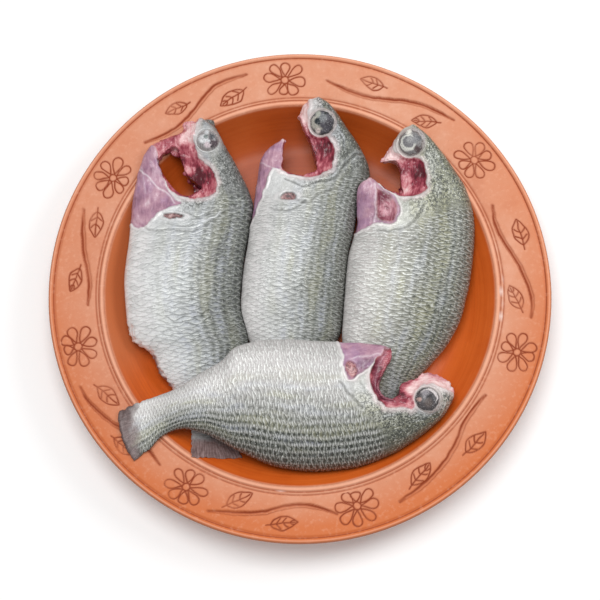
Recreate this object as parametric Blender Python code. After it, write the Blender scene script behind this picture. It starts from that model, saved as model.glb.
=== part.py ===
"""Four raw whole fish, cleaned through the gills, lying on a round terracotta plate with a wide rim."""

import math

import bmesh
import bpy
from mathutils import Vector

MM = 0.001

# The plate, in millimetres: radii and heights above the table.
PLATE_RADIUS = 140.0
FOOT_RADIUS = 90.0
FOOT_WIDTH = 7.0
FOOT_RECESS = 1.2
FLOOR_HEIGHT = 7.0
FLOOR_RADIUS = 84.0
WALL_RADIUS = 107.2
WALL_HEIGHT = 23.4
WALL_POWER = 1.9
RIM_INNER_RADIUS = 113.6
RIM_OUTER_RADIUS = 134.5
RIM_INNER_HEIGHT = 23.5
RIM_OUTER_HEIGHT = 24.5
BEAD_HEIGHT = 24.0
GROOVE_HEIGHT = 22.9
EDGE_BEAD_HEIGHT = 25.0
PLATE_SEGMENTS = 76

# The fish: how finely they are lofted, and the shares of their length where their thickness is set.
RING_POINTS = 26
BODY_STEP = 8.0
END_STEP = 4.2
TAIL_END = 24.0
HEAD_START = 0.72
SNOUT_LENGTH = 11.0
SNOUT_RINGS = 5
SECTION_POWER = 0.8
CLEARANCE = 0.45
REST_GAP = 0.75
CUT_REACH = 70.0
TERRACOTTA = (0.62, 0.24, 0.11)
CLAY_ROUGHNESS = 0.6
WET_ROUGHNESS = 0.3
EYE_HALF_HEIGHT = 0.6
EYE_BULGE = 0.28
HALF_THICKNESS = (
    (0.00, 0.65), (0.07, 0.75), (0.11, 1.7), (0.16, 3.9), (0.24, 6.6), (0.34, 9.2),
    (0.46, 12.0), (0.60, 13.4), (0.74, 13.0), (0.86, 11.2), (0.94, 9.6), (1.00, 8.4),
)
BELLY_THINNING = ((0.0, 0.0), (0.25, 0.08), (0.6, 0.18), (0.8, 0.34), (1.0, 0.25))
HEAD_RISE = ((0.0, 0.0), (0.66, 0.0), (0.82, 1.6), (1.0, 7.5))
FIN_DRAPE = ((0.0, 1.0), (16.0, 1.0), (42.0, 0.0))

# Each fish lies on its side in its own frame: x from the tail's end to the snout, y towards the belly.
# back and belly are its outline, cut is the gap left by the gills and jaw, and dip the hollow round it.
FISH = {
    "fish_left": dict(
        color=(0.56, 0.57, 0.57),
        at=(-47.0, -91.2),
        heading=92.6,
        length=190.6,
        tail_skew=0.0,
        roll=2.0,
        back=(
            (0, -16), (13, -10.5), (25, -7.5), (40, -12), (53, -18.5), (64, -21), (84, -17.6), (108, -20.6),
            (126, -24.6), (139, -27), (148, -25), (158, -21), (168, -16), (176, -11.6), (184, -8), (190.6, 0),
        ),
        belly=(
            (0, 12.7), (15, 12.7), (26, 14.8), (39, 22.3), (48, 29), (59, 34), (66, 43), (75, 45.6), (98, 46.5),
            (124, 43.2), (147, 40.7), (160, 37.6), (170, 34), (176, 30), (180, 23), (183, 13), (187, 8.5), (190.6, 0),
        ),
        cut=(
            (168, 24.5), (172, 20), (173.5, 15), (169, 12.7), (161, 10.6), (156.5, 8), (152, 4.2), (149, 0.8),
            (146, 4.5), (145, 9.4), (147.6, 15), (155, 20.4), (162, 24),
        ),
        dip=(159, 12, 26, 0.55),
        eye=(175.4, -3.2, 6.2),
    ),
    "fish_middle": dict(
        color=(0.50, 0.53, 0.51),
        at=(-5.5, -77.3),
        heading=85.2,
        length=189.5,
        tail_skew=0.0,
        roll=3.0,
        back=(
            (0, -15), (12, -10.5), (24, -7.5), (36, -10), (48, -18.5), (58, -23.6), (81, -24.2), (100, -24.2),
            (116, -26.4), (128, -27.6), (138, -30.6), (146, -33), (152, -32), (159, -28.7), (166, -24),
            (174, -17), (181.4, -10.9), (186.4, -6), (189.5, 0),
        ),
        belly=(
            (0, 13), (12, 11), (24, 10.5), (36, 16), (48, 26.5), (56, 30.5), (64, 32.6), (85, 32.8), (108, 31.3),
            (140, 30.8), (151, 30), (158, 26.4), (162, 22), (166, 16.5), (173, 13), (180, 10), (186, 7.5), (189.5, 0),
        ),
        cut=(
            (164.6, 17.5), (158, 17.2), (152, 16.9), (147, 17.2), (144.2, 13.8), (142.6, 8), (143.1, 1.8), (145, -1.9),
            (149, -2.7), (156.3, -0.5), (164.9, 3.1), (171, 6.6), (176, 9), (178, 16), (172, 24), (166.5, 22),
        ),
        dip=(157, 6, 24, 0.5),
        eye=(172.8, -3.5, 7.2),
    ),
    "fish_right": dict(
        color=(0.44, 0.46, 0.41),
        at=(33.2, -89.5),
        heading=80.9,
        length=187.4,
        tail_skew=0.0,
        roll=4.0,
        back=(
            (0, -15), (12, -11), (24, -12), (33, -17), (41, -22), (56, -31.5), (64, -36.8), (72, -40.5), (86, -44.2),
            (108, -45.8), (126, -45.3), (138, -43.6), (147, -41.2), (156, -36.6), (164, -29.8), (171, -23.2),
            (177, -16.5), (182, -10.2), (187.4, -1),
        ),
        belly=(
            (0, 13), (12, 9.5), (24, 7.5), (36, 8.5), (48, 14), (62, 19.2), (83, 21), (106, 22.8), (119, 21.7),
            (126, 21.8), (134, 23.7), (142, 25), (148, 23.6), (152, 19), (158, 15.5), (165, 13.2), (171.5, 10),
            (178, 6.8), (183, 4.8), (187.4, -1),
        ),
        cut=(
            (151.4, 17), (148, 9), (145.9, 2.8), (146.6, -1.1), (152, 0.3), (160, 2), (165, 4.5), (166.6, 8),
            (164.6, 12.4), (164, 20), (156, 24),
        ),
        dip=(157, 4, 23, 0.5),
        eye=(174.9, -1.5, 7.6),
        flap=(150, 25, 26, 7.0),
    ),
    "fish_front": dict(
        color=(0.42, 0.44, 0.40),
        at=(-95.7, -79.1),
        heading=6.4,
        length=181.0,
        tail_skew=-0.2,
        roll=11.0,
        lie=((0, 25.3), (16, 26.6), (36, 26.6), (60, 25), (90, 24), (120, 24.8), (150, 26.2), (181, 25.6)),
        back=(
            (0, -17), (11, -11.5), (21, -4.2), (31, -2.2), (43, -5.8), (61, -17.2), (82, -27.9), (104, -32.5),
            (118, -32.9), (143, -28.1), (158, -21.2), (168, -15.2), (175, -9.5), (181, -1),
        ),
        belly=(
            (0, 14.4), (16, 16.4), (29, 19.3), (44, 26.6), (56, 31.8), (66, 39), (80, 40.8), (111, 37), (144, 31.2),
            (151, 27.4), (158, 20), (164, 13.4), (168, 13.4), (174, 11), (178.6, 6), (181, -1),
        ),
        cut=(
            (150.4, 29), (149, 22.6), (146.8, 17), (143.8, 11), (142.6, 6.5), (143.7, 2.5), (147, 0.5), (150.4, 2),
            (152.2, 7), (157, 9.3), (161.6, 9), (164.2, 13.2), (164, 24), (158, 33),
        ),
        dip=(151, 13, 22, 0.45),
        eye=(165.4, -2.3, 7.0),
    ),
}


def smooth(points, x):
    """The smooth curve through (x, y) points, with no overshoot, read at x."""
    if x <= points[0][0]:
        return points[0][1]
    if x >= points[-1][0]:
        return points[-1][1]
    i = max(k for k in range(len(points) - 1) if points[k][0] <= x)
    slopes = [(b[1] - a[1]) / (b[0] - a[0]) for a, b in zip(points, points[1:])]

    def tangent(k):
        if k == 0 or k == len(points) - 1:
            return slopes[0 if k == 0 else -1]
        before, after = slopes[k - 1], slopes[k]
        return 0.0 if before * after <= 0 else 2 * before * after / (before + after)

    (x0, y0), (x1, y1) = points[i], points[i + 1]
    step = x1 - x0
    t = (x - x0) / step
    return (
        (2 * t**3 - 3 * t**2 + 1) * y0
        + (t**3 - 2 * t**2 + t) * step * tangent(i)
        + (3 * t**2 - 2 * t**3) * y1
        + (t**3 - t**2) * step * tangent(i + 1)
    )


def closed_curve(points, steps=3):
    """A smooth closed curve through the points, as a list of points."""
    out = []
    n = len(points)
    for i in range(n):
        a, b, c, d = (Vector(points[(i + k) % n]) for k in (-1, 0, 1, 2))
        for k in range(steps):
            t = k / steps
            out.append(
                0.5 * (2 * b + (c - a) * t + (2 * a - 5 * b + 4 * c - d) * t**2 + (3 * b - a - 3 * c + d) * t**3)
            )
    return out


def clear_scene():
    for obj in list(bpy.data.objects):
        bpy.data.objects.remove(obj)


def material(name, color, roughness):
    made = bpy.data.materials.new(name)
    made.use_nodes = True
    shader = made.node_tree.nodes["Principled BSDF"]
    shader.inputs["Base Color"].default_value = (*color, 1.0)
    shader.inputs["Roughness"].default_value = roughness
    shader.inputs["Metallic"].default_value = 0.0
    return made


def object_of(name, points, faces):
    """A new object from points in millimetres, with its faces turned outwards."""
    mesh = bpy.data.meshes.new(name)
    mesh.from_pydata([Vector(p) * MM for p in points], [], faces)
    made = bpy.data.objects.new(name, mesh)
    bpy.context.scene.collection.objects.link(made)
    shell = bmesh.new()
    shell.from_mesh(mesh)
    bmesh.ops.recalc_face_normals(shell, faces=shell.faces)
    shell.to_mesh(mesh)
    shell.free()
    return made


def plate_top():
    """The plate's upper profile as (radius, height) points, from the centre to the edge."""
    wall = [
        (
            FLOOR_RADIUS + (WALL_RADIUS - FLOOR_RADIUS) * t,
            FLOOR_HEIGHT + (WALL_HEIGHT - FLOOR_HEIGHT) * t**WALL_POWER,
        )
        for t in (0.0, 0.25, 0.5, 0.75, 0.92)
    ]
    beads = [
        (WALL_RADIUS, WALL_HEIGHT), (108.5, BEAD_HEIGHT), (109.9, GROOVE_HEIGHT + 0.2), (111.2, BEAD_HEIGHT),
        (112.6, GROOVE_HEIGHT), (RIM_INNER_RADIUS, RIM_INNER_HEIGHT),
    ]
    edge = [
        (RIM_OUTER_RADIUS, RIM_OUTER_HEIGHT), (135.7, RIM_OUTER_HEIGHT - 0.7), (137.1, EDGE_BEAD_HEIGHT - 0.1),
        (138.6, EDGE_BEAD_HEIGHT - 0.1), (PLATE_RADIUS, EDGE_BEAD_HEIGHT - 1.8),
    ]
    return [(0.0, FLOOR_HEIGHT)] + wall + beads + edge


def plate_height(radius):
    """The height of the plate's upper face at a radius."""
    top = plate_top()
    for (r0, z0), (r1, z1) in zip(top, top[1:]):
        if r0 <= radius <= r1:
            return z0 + (z1 - z0) * (radius - r0) / (r1 - r0)
    return top[-1][1]


def turned(name, profile):
    """A solid of revolution from (radius, height) points that start and end on the axis."""
    points = [(0.0, 0.0, profile[0][1])]
    faces = []
    rings = []
    for radius, height in profile[1:-1]:
        rings.append(len(points))
        for k in range(PLATE_SEGMENTS):
            angle = 2 * math.pi * k / PLATE_SEGMENTS
            points.append((radius * math.cos(angle), radius * math.sin(angle), height))
    last = len(points)
    points.append((0.0, 0.0, profile[-1][1]))
    for k in range(PLATE_SEGMENTS):
        after = (k + 1) % PLATE_SEGMENTS
        faces.append((0, rings[0] + k, rings[0] + after))
        faces.append((last, rings[-1] + after, rings[-1] + k))
        for a, b in zip(rings, rings[1:]):
            faces.append((a + k, b + k, b + after, a + after))
    return object_of(name, points, faces)


def plate():
    under = [
        (139.6, 20.4), (136.5, 17.6), (114.0, 14.2), (97.0, 3.2), (FOOT_RADIUS, 0.0),
        (FOOT_RADIUS - FOOT_WIDTH, 0.0), (FOOT_RADIUS - FOOT_WIDTH - 1.5, FOOT_RECESS), (0.0, FOOT_RECESS),
    ]
    return turned("plate", plate_top() + under)


def plate_clearance():
    """A solid that fills the plate to a hair above its upper face, to trim what rests on it."""
    top = [(radius, height + CLEARANCE) for radius, height in plate_top()]
    return turned("plate_clearance", top + [(PLATE_RADIUS, -5.0), (0.0, -5.0)])


def stations(length):
    """Where the loft's rings stand along a fish: closer at the head, and closing up round the snout."""
    at = [0.0]
    while at[-1] < length - SNOUT_LENGTH:
        at.append(at[-1] + (BODY_STEP if TAIL_END < at[-1] < HEAD_START * length else END_STEP))
    at[-1] = length - SNOUT_LENGTH
    for k in range(1, SNOUT_RINGS + 1):
        at.append(length - SNOUT_LENGTH + SNOUT_LENGTH * math.sin(0.47 * math.pi * k / SNOUT_RINGS))
    return at


def section(fish, x, grow):
    """One ring of a fish's skin in its own frame, as (x, y, half height) points."""
    length = fish["length"]
    share = x / length
    back = smooth(fish["back"], x) - grow
    belly = smooth(fish["belly"], x) + grow
    middle, half = (back + belly) / 2, (belly - back) / 2
    thick = smooth(HALF_THICKNESS, share) + grow
    front = (x - (length - SNOUT_LENGTH)) / SNOUT_LENGTH
    if front > 0:
        thick *= math.sqrt(max(0.0, 1 - front**2)) * 0.92 + 0.08
    thin = smooth(BELLY_THINNING, share)
    dip_x, dip_y, dip_radius, dip_depth = fish["dip"]
    ring = []
    for k in range(RING_POINTS):
        angle = 2 * math.pi * k / RING_POINTS
        across, up = math.cos(angle), math.sin(angle)
        y = middle + half * across
        z = thick * math.copysign(abs(up) ** SECTION_POWER, up) * (1 - thin * across)
        near = max(0.0, 1 - math.hypot(x - dip_x, y - dip_y) / dip_radius)
        z *= 1 - dip_depth * near * near * (3 - 2 * near)
        skew = fish["tail_skew"] * (y - middle) * max(0.0, 1 - x / 30.0)
        ring.append((x + skew, y, z))
    return ring


def lie_height(fish, x):
    """The height of the fish's middle layer at x."""
    if "lie" in fish:
        return smooth(fish["lie"], x)
    share = x / fish["length"]
    widest = max(HALF_THICKNESS, key=lambda row: row[1])
    rest = smooth(HALF_THICKNESS, share) if share < widest[0] else widest[1]
    return FLOOR_HEIGHT + REST_GAP + rest + smooth(HEAD_RISE, share)


def lift(fish, x, y):
    """How far a point is raised by the fish's roll, by the well's wall under its tail and by a raised flap."""
    roll = math.tan(math.radians(fish["roll"])) * min(1.0, x / 60.0)
    drape = (plate_height(from_plate_centre(fish, x, y)) - FLOOR_HEIGHT) * smooth(FIN_DRAPE, x)
    if "lie" in fish:
        drape = 0.0
    flap = 0.0
    if "flap" in fish:
        flap_x, flap_y, radius, height = fish["flap"]
        near = max(0.0, 1 - math.hypot(x - flap_x, y - flap_y) / radius)
        flap = height * near * near * (3 - 2 * near)
    return roll * y + drape + flap


def from_plate_centre(fish, x, y):
    """How far a point of the fish's own frame lies from the plate's axis."""
    angle = math.radians(fish["heading"])
    return math.hypot(
        fish["at"][0] + x * math.cos(angle) - y * math.sin(angle),
        fish["at"][1] + x * math.sin(angle) + y * math.cos(angle),
    )


def place(obj, fish):
    """Moves an object made in the fish's own frame to where the fish lies on the plate."""
    obj.location = Vector((*fish["at"], 0.0)) * MM
    obj.rotation_euler = (0.0, 0.0, math.radians(fish["heading"]))
    return obj


def loft(name, fish, grow=0.0):
    """The whole closed skin of a fish where it lies, before the gills are cut away."""
    points = []
    for x in stations(fish["length"]):
        for px, py, pz in section(fish, x, grow):
            points.append((px, py, lie_height(fish, x) + lift(fish, px, py) + pz))
    rings = len(points) // RING_POINTS
    faces = []
    for first in (0, (rings - 1) * RING_POINTS):
        ring = points[first:first + RING_POINTS]
        points.append(tuple(sum(p[axis] for p in ring) / RING_POINTS for axis in range(3)))
        faces += [(first + k, first + (k + 1) % RING_POINTS, len(points) - 1) for k in range(RING_POINTS)]
    for i in range(rings - 1):
        for k in range(RING_POINTS):
            a, b = i * RING_POINTS + k, i * RING_POINTS + (k + 1) % RING_POINTS
            # Both sides are split along the same diagonal, so that the thin fin never crosses itself.
            if k < RING_POINTS // 2:
                faces += [(a, b, b + RING_POINTS), (a, b + RING_POINTS, a + RING_POINTS)]
            else:
                faces += [(a, b, a + RING_POINTS), (b, b + RING_POINTS, a + RING_POINTS)]
    return place(object_of(name, points, faces), fish)


def cut_prism(fish):
    """The upright prism that the missing gills and jaw leave open."""
    outline = closed_curve(fish["cut"])
    n = len(outline)
    points = [(p.x, p.y, z) for z in (-CUT_REACH, CUT_REACH) for p in outline]
    faces = [tuple(range(n)), tuple(range(n, 2 * n))]
    faces += [(k, (k + 1) % n, n + (k + 1) % n, n + k) for k in range(n)]
    return place(object_of("cut", points, faces), fish)


def skin_height(fish, x, y):
    """How far the skin stands above the fish's middle layer at a point of its own frame."""
    upper = [p for p in section(fish, x, 0.0) if p[2] >= 0.0]
    return smooth(sorted((py, pz) for _, py, pz in upper), y)


def eye_dome(fish, side):
    """The flattened ball of one eye; side is 1 for the upper eye and -1 for the lower."""
    x, y, radius = fish["eye"]
    sunk = EYE_HALF_HEIGHT - EYE_BULGE
    ball = radius / math.sqrt(1 - (sunk / EYE_HALF_HEIGHT) ** 2)
    height = lie_height(fish, x) + lift(fish, x, y) + side * (skin_height(fish, x, y) - sunk * ball)
    shell = bmesh.new()
    bmesh.ops.create_uvsphere(shell, u_segments=12, v_segments=8, radius=ball * MM)
    bmesh.ops.scale(shell, vec=(1.0, 1.0, EYE_HALF_HEIGHT), verts=shell.verts)
    bmesh.ops.translate(shell, vec=Vector((x, y, height)) * MM, verts=shell.verts)
    mesh = bpy.data.meshes.new("eye")
    shell.to_mesh(mesh)
    shell.free()
    made = bpy.data.objects.new("eye", mesh)
    bpy.context.scene.collection.objects.link(made)
    return place(made, fish)


def combine(obj, other, operation):
    """Joins other to obj, or cuts it away, and removes other."""
    step = obj.modifiers.new(operation.lower(), "BOOLEAN")
    step.operation = operation
    step.object = other
    bpy.context.view_layer.update()
    evaluated = obj.evaluated_get(bpy.context.evaluated_depsgraph_get())
    made = bpy.data.meshes.new_from_object(evaluated)
    obj.modifiers.clear()
    obj.data = made
    bpy.data.objects.remove(other)


def keep_largest(obj):
    """Drops loose scraps that the cuts leave."""
    shell = bmesh.new()
    shell.from_mesh(obj.data)
    left = set(shell.verts)
    groups = []
    while left:
        group, edge = set(), [left.pop()]
        while edge:
            vert = edge.pop()
            group.add(vert)
            near = {e.other_vert(vert) for e in vert.link_edges} & left
            left -= near
            edge.extend(near)
        groups.append(group)
    groups.sort(key=len)
    scraps = [vert for group in groups[:-1] for vert in group]
    bmesh.ops.delete(shell, geom=scraps, context="VERTS")
    shell.to_mesh(obj.data)
    shell.free()


def finish(obj, skin):
    obj.data.materials.clear()
    obj.data.materials.append(skin)
    obj.data.shade_smooth()
    obj.data.set_sharp_from_angle(angle=math.radians(40))


def main():
    clear_scene()
    finish(plate(), material("terracotta", TERRACOTTA, CLAY_ROUGHNESS))
    below = []
    for name, fish in FISH.items():
        body = loft(name, fish)
        combine(body, cut_prism(fish), "DIFFERENCE")
        for side in (1, -1):
            combine(body, eye_dome(fish, side), "UNION")
        combine(body, plate_clearance(), "DIFFERENCE")
        for lower_name, lower in below:
            combine(body, loft(lower_name + "_clearance", lower, CLEARANCE), "DIFFERENCE")
        keep_largest(body)
        finish(body, material(name + "_skin", fish["color"], WET_ROUGHNESS))
        below.append((name, fish))


main()
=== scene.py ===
"""The looks of four raw fish on an engraved terracotta plate."""

import math

import bmesh
import bpy
import numpy as np
from mathutils import Matrix, Vector


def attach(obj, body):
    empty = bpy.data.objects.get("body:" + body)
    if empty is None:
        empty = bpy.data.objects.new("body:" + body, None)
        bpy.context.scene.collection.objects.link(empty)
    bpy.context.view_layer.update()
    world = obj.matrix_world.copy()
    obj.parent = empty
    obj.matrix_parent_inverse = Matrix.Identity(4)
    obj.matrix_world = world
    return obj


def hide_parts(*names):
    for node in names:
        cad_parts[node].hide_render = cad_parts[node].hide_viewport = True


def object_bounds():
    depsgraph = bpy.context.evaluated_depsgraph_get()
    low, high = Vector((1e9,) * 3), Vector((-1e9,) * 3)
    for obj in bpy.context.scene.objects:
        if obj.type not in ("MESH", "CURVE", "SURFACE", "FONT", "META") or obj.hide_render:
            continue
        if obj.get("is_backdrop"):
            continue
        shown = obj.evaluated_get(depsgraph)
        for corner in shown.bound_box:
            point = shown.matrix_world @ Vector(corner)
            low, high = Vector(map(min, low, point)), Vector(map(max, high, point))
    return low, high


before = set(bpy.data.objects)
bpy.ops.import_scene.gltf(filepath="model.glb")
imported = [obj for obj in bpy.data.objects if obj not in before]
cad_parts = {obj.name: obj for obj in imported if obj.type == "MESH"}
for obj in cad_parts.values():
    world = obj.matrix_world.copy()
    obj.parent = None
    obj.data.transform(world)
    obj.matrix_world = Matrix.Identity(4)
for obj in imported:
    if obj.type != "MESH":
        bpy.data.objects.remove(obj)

CAD_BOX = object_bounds()
MM = 0.001

# The photograph's view, in metres and degrees.
AIM = Vector((0.0, -0.0053, 0.025))
ELEVATION = 77.0
DISTANCE = 1.0
LENS = 108.2
SENSOR = 36.0

# The studio, in metres: each light's place, energy and size.
LIGHTS = {"key": ((-0.12, 0.2, 1.2), 8.6, 0.8), "side": ((0.8, 0.35, 0.8), 3.4, 0.5)}
SKY_STRENGTH = 0.42
FLOOR_DROP = -0.0005

# The plate's turned form, in millimetres: radii and heights above the table, and (radius, height) tables.
PLATE_RADIUS = 140.0
FOOT_RADIUS = 90.0
FOOT_WIDTH = 7.0
FOOT_RECESS = 1.2
FLOOR_HEIGHT = 7.0
FLOOR_RADIUS = 84.0
WALL_RADIUS = 108.4
WALL_HEIGHT = 23.4
WALL_POWER = 1.9
RIM_INNER_RADIUS = 114.4
RIM_OUTER_RADIUS = 135.6
RIM_INNER_HEIGHT = 23.5
RIM_OUTER_HEIGHT = 24.5
BEAD_HEIGHT = 24.0
GROOVE_HEIGHT = 22.9
EDGE_BEAD_HEIGHT = 25.0
RIM_SEGMENTS = 1600
RIM_ROWS = 42
PLAIN_SEGMENTS = 200
UPPER_SIDE = 18.5
WELL_BEADS = (
    (WALL_RADIUS, WALL_HEIGHT - 0.2), (109.2, BEAD_HEIGHT - 0.2), (110.9, BEAD_HEIGHT),
    (111.7, GROOVE_HEIGHT), (112.5, RIM_INNER_HEIGHT), (113.4, GROOVE_HEIGHT - 0.1),
    (RIM_INNER_RADIUS, RIM_INNER_HEIGHT),
)
OUTER_EDGE = (
    (RIM_OUTER_RADIUS, RIM_OUTER_HEIGHT), (136.6, RIM_OUTER_HEIGHT - 0.9), (137.6, EDGE_BEAD_HEIGHT),
    (139.0, EDGE_BEAD_HEIGHT - 0.1), (PLATE_RADIUS, EDGE_BEAD_HEIGHT - 1.8),
)
UNDERSIDE = (
    (139.6, 20.4), (136.5, 17.6), (114.0, 14.2), (97.0, 3.2), (FOOT_RADIUS + 0.6, 0.4), (FOOT_RADIUS, 0.0),
    (FOOT_RADIUS - FOOT_WIDTH, 0.0), (FOOT_RADIUS - FOOT_WIDTH - 1.5, FOOT_RECESS), (0.0, FOOT_RECESS),
)

# The engraving, scratched by hand into the soft clay. Each flower is (angle in degrees, radius in mm, turn
# of its petals), each vine is a path of (angle, radius), and SHADED_WALL shifts the painted shade on one wall
# of each vine away from its middle, in mm.
LINE_WIDTH = 0.37
LINE_DEPTH = 0.4
VINE_WIDTH = 1.2
VINE_DEPTH = 0.45
PETALS = 8
PETAL_LENGTH = 11.8
PETAL_WIDTH = 2.55
FLOWER_HEART = 2.2
FLOWER_MARGIN = 1.4
LEAF_LENGTH = 16.5
LEAF_WIDTH = 4.3
SHADED_WALL = (-0.5, 0.45)
FLOWERS = (
    (148.1, 124.2, 32), (94.0, 124.2, 40), (37.7, 124.4, 23), (-16.1, 124.6, 20),
    (-75.5, 123.3, 5), (-119.5, 125.4, 30), (-165.5, 126.5, 22),
)
VINES = (
    ((135.5, 123.1), (127.1, 117.7), (119.4, 121.6), (111.9, 130.3), (103.4, 130.5)),
    ((82.9, 124.3), (71.3, 119.4), (59.4, 128.6), (48.8, 132.6)),
    ((24.6, 119.3), (17.7, 115.8), (7.0, 123.6), (-2.2, 129.5), (-6.8, 128.9)),
    ((-29.9, 117.6), (-38.8, 115.7), (-46.1, 121.8), (-56.2, 126.8), (-65.2, 129.2)),
    ((-80.8, 125.4), (-85.6, 120.3), (-92.6, 119.0), (-99.9, 125.6), (-112.1, 132.0)),
    ((-128.1, 123.4), (-136.3, 120.7), (-143.4, 126.0), (-150.9, 131.2), (-155.7, 132.2)),
    ((158.9, 130.0), (167.7, 124.2), (176.9, 117.1), (183.9, 117.9)),
)
# Each leaf is (angle, radius, direction of its tip in degrees, share of the full size).
LEAVES = (
    (123.5, 127.8, 205, 0.8), (108.9, 119.6, 215, 0.95), (71.4, 128.8, 160, 0.85), (54.6, 121.8, 175, 0.85),
    (15.4, 127.8, 105, 0.95), (-1.6, 119.6, 115, 0.9), (-41.4, 128.0, 45, 0.95), (-57.2, 121.4, 50, 0.95),
    (-105.8, 120.4, 25, 0.95), (-93.8, 129.0, 5, 0.9), (-150.7, 120.6, -40, 0.95),
    (-137.8, 129.5, -40, 0.85), (161.4, 120.6, -95, 0.9), (177.1, 125.4, -110, 0.85),
)
# Chips in the ring around the well: (angle, radius, size).
CHIPS = ((-95.0, 111.7, 1.1), (3.8, 113.2, 0.8), (0.3, 112.4, 1.1), (-3.2, 112.8, 1.0), (-7.3, 112.2, 0.9))

# What all the fish share, in millimetres. The tables give the half thickness, the thinning towards the belly
# and the rise of the head by share of the length, and how much the tail follows the plate by x.
RING_POINTS = 120
BODY_STEP = 1.6
FLAT_TAIL = 60.0
SKEW_LENGTH = 30.0
SNOUT_LENGTH = 11.0
SNOUT_RINGS = 14
SECTION_POWER = 0.8
CLEARANCE = 0.45
SKIN_CLEARANCE = 0.2
REST_GAP = 0.75
CUT_REACH = 70.0
EYE_HALF_HEIGHT = 0.6
EYE_BULGE = 0.28
VOXEL = 0.62
HALF_THICKNESS = (
    (0.00, 0.65), (0.07, 0.75), (0.11, 1.7), (0.16, 3.9), (0.24, 6.6), (0.34, 9.2),
    (0.46, 12.0), (0.60, 13.4), (0.74, 13.0), (0.86, 11.2), (0.94, 9.6), (1.00, 8.4),
)
BELLY_THINNING = ((0.0, 0.0), (0.25, 0.08), (0.6, 0.18), (0.8, 0.34), (1.0, 0.25))
HEAD_RISE = ((0.0, 0.0), (0.66, 0.0), (0.82, 1.6), (1.0, 7.5))
FIN_DRAPE = ((0.0, 1.0), (16.0, 1.0), (42.0, 0.0))

# The scales: row spacing along the body, width across it, how far each free edge curves back (in rows),
# how many rows of a scale show, and how far its free edge stands up.
ROW_PITCH = 1.5
SCALE_WIDTH = 9.4
SCALE_CURVE = 2.1
SCALE_LENGTH = 1.85
SCALE_RISE = 0.24
DEEPEST_HALF = 34.0

# The relief of the dressed skin, in millimetres, and how far from a cut's outline the skin still changes.
OUTLINE_REACH = 6.0
FLESH_SINK = 1.3
RAW_SINK = 1.6
FILM_SINK = 0.25
WOUND_SINK = 0.8
SOCKET_SINK = 0.8
FOLD_SINK = 0.7
RIDGE_RISE = 0.5
LID_RISE = 0.45
LIP_RISE = 0.4
WRINKLE_RISE = 0.1
DEEPEST_MOVE = -2.6
HIGHEST_MOVE = SKIN_CLEARANCE + 0.5
TAIL_LENGTH = 26.0

# The step along and the points around of the room that one fish leaves for the next, and the rings and
# points around of the loose lumps and of the eyes.
CLEARANCE_GRID = (3.0, 60)
LUMP_GRID = (11, 20)
EYE_GRID = (44, 110)
EYE_SWEEP = 0.68 * math.pi
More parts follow.
